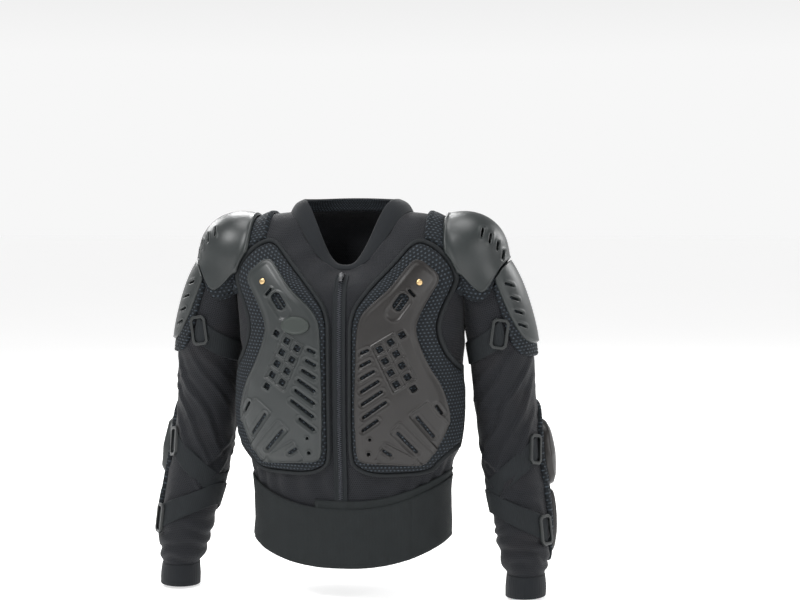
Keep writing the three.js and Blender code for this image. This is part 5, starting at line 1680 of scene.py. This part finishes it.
def buckle(node):
    """A moulded buckle: the frame's own shape with its doubles merged and its edges rounded."""
    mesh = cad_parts[node].data.copy()
    with editing(mesh) as net:
        bmesh.ops.remove_doubles(net, verts=net.verts[:], dist=0.02 * MM)
        bmesh.ops.dissolve_limit(net, angle_limit=math.radians(8), verts=net.verts[:], edges=net.edges[:])
        sharp = [e for e in net.edges if e.is_manifold and e.calc_face_angle(0) > math.radians(35)]
        rounding = {"offset": 1.2 * MM, "segments": 3, "profile": 0.5, "affect": "EDGES"}
        bmesh.ops.bevel(net, geom=sharp, material=-1, clamp_overlap=True, **rounding)
        bmesh.ops.triangulate(net, faces=net.faces[:])
    smoothed(mesh)
    dress(linked(f"{node}_moulded", mesh), "buckle_plastic", "buckle_plastic", node)


# Camera: its aim, its turn and rise in degrees, its distance and the size of a pixel at the aim, in metres
AIM = Vector((0, 0, -0.33))
CAMERA_TURN, CAMERA_RISE, CAMERA_FAR = 10.5, 7.0, 2.7
PIXEL = 0.00176
PICTURE_WIDTH, SENSOR = 800, 36
# Pixels from the aim to the middle of the picture, to the right and up
OFF_AIM = (47.5, 100)
# Lights: place, width and power
LIGHTS = {
    "key": ((-1.5, -2.0, 2.1), 0.9, 74),
    "fill": ((2.3, -1.9, 0.8), 1.6, 24),
    "top": ((0.0, -0.1, 2.4), 1.2, 40),
    "rear_left": ((-2.0, 1.7, 1.3), 1.0, 36),
    "rear_right": ((2.2, 1.6, 1.0), 1.0, 30),
    "back": ((-0.9, 2.2, 2.0), 0.9, 56),
}


class JACKET_OT_stage(bpy.types.Operator):
    """Camera, pale floor and soft studio light"""

    bl_idname = "jacket.stage"
    bl_label = "Stage"

    def execute(self, context):
        scene = context.scene
        turn, rise = math.radians(CAMERA_TURN), math.radians(CAMERA_RISE)
        way = Vector((math.sin(turn) * math.cos(rise), -math.cos(turn) * math.cos(rise), math.sin(rise)))
        lens = bpy.data.cameras.new("camera")
        lens.sensor_width = SENSOR
        lens.lens = SENSOR * CAMERA_FAR / (PICTURE_WIDTH * PIXEL)
        lens.clip_end = 50
        camera = linked("camera", lens)
        camera.location = AIM + way * CAMERA_FAR
        right = Vector((math.cos(turn), math.sin(turn), 0))
        up = right.cross(-way).normalized()
        target = AIM + right * (OFF_AIM[0] * PIXEL) + up * (OFF_AIM[1] * PIXEL)
        camera.rotation_euler = (target - camera.location).to_track_quat("-Z", "Y").to_euler()
        scene.camera = camera

        net = Net("floor_paper", Roughness=0.9, Specular_IOR_Level=0.2, Emission_Strength=0.62)
        net.colour(net.mix(net.noise(900, 2), (0.76, 0.76, 0.76, 1), (0.8, 0.8, 0.8, 1)))
        net.put(net.shader.inputs["Emission Color"], (1, 1, 1, 1))
        mesh = bpy.data.meshes.new("floor")
        with editing(mesh) as grid:
            bmesh.ops.create_circle(grid, cap_ends=True, segments=96, radius=40)
            bmesh.ops.translate(grid, vec=(0, 0, CAD_BOX[0][2] - 0.004), verts=grid.verts[:])
        mesh.materials.append(net.material)
        linked("floor", mesh)

        for name, (place, width, power) in LIGHTS.items():
            lamp = bpy.data.lights.new(name, "AREA")
            lamp.size, lamp.energy = width, power
            light = linked(name, lamp)
            light.location = place
            light.rotation_euler = (AIM - Vector(place)).to_track_quat("-Z", "Y").to_euler()
        world = bpy.data.worlds.new("studio")
        world.use_nodes = True
        tree = world.node_tree
        place = tree.nodes.new("ShaderNodeTexCoord")
        parts = tree.nodes.new("ShaderNodeSeparateXYZ")
        ramp = tree.nodes.new("ShaderNodeMapRange")
        tree.links.new(place.outputs["Generated"], parts.inputs[0])
        tree.links.new(parts.outputs["Z"], ramp.inputs["Value"])
        tree.links.new(ramp.outputs[0], tree.nodes["Background"].inputs["Strength"])
        for socket, value in (("From Min", 0.1), ("From Max", 0.5), ("To Min", 0.93), ("To Max", 0.3)):
            ramp.inputs[socket].default_value = value
        tree.nodes["Background"].inputs["Color"].default_value = (1, 1, 1, 1)
        scene.world = world
        scene.view_settings.view_transform = "Standard"
        return {"FINISHED"}


OPERATORS = (
    JACKET_OT_stage, JACKET_OT_fabric, JACKET_OT_sleeves, JACKET_OT_collar, JACKET_OT_zip, JACKET_OT_chest,
    JACKET_OT_back, JACKET_OT_belt, JACKET_OT_shoulders, JACKET_OT_guards, JACKET_OT_straps,
)


class JACKET_PT_panel(bpy.types.Panel):
    """Lists the jacket's pieces, sizes and colours"""

    bl_label = "Jacket"
    bl_idname = "JACKET_PT_panel"
    bl_space_type = "VIEW_3D"
    bl_region_type = "UI"
    bl_category = "Jacket"

    def draw(self, context):
        for operator in OPERATORS:
            self.layout.operator(operator.bl_idname)
        for group in (context.scene.jacket_sizes, context.scene.jacket_colours):
            for key in type(group).__annotations__:
                self.layout.prop(group, key)


CLASSES = (JacketSizes, JacketColours, *OPERATORS, JACKET_PT_panel)


def register():
    for item in CLASSES:
        bpy.utils.register_class(item)
    bpy.types.Scene.jacket_sizes = PointerProperty(type=JacketSizes)
    bpy.types.Scene.jacket_colours = PointerProperty(type=JacketColours)


def unregister():
    del bpy.types.Scene.jacket_colours
    del bpy.types.Scene.jacket_sizes
    for item in reversed(CLASSES):
        bpy.utils.unregister_class(item)


def main():
    register()
    for operator in OPERATORS:
        group, name = operator.bl_idname.split(".")
        getattr(getattr(bpy.ops, group), name)()


if __name__ == "__main__":
    main()
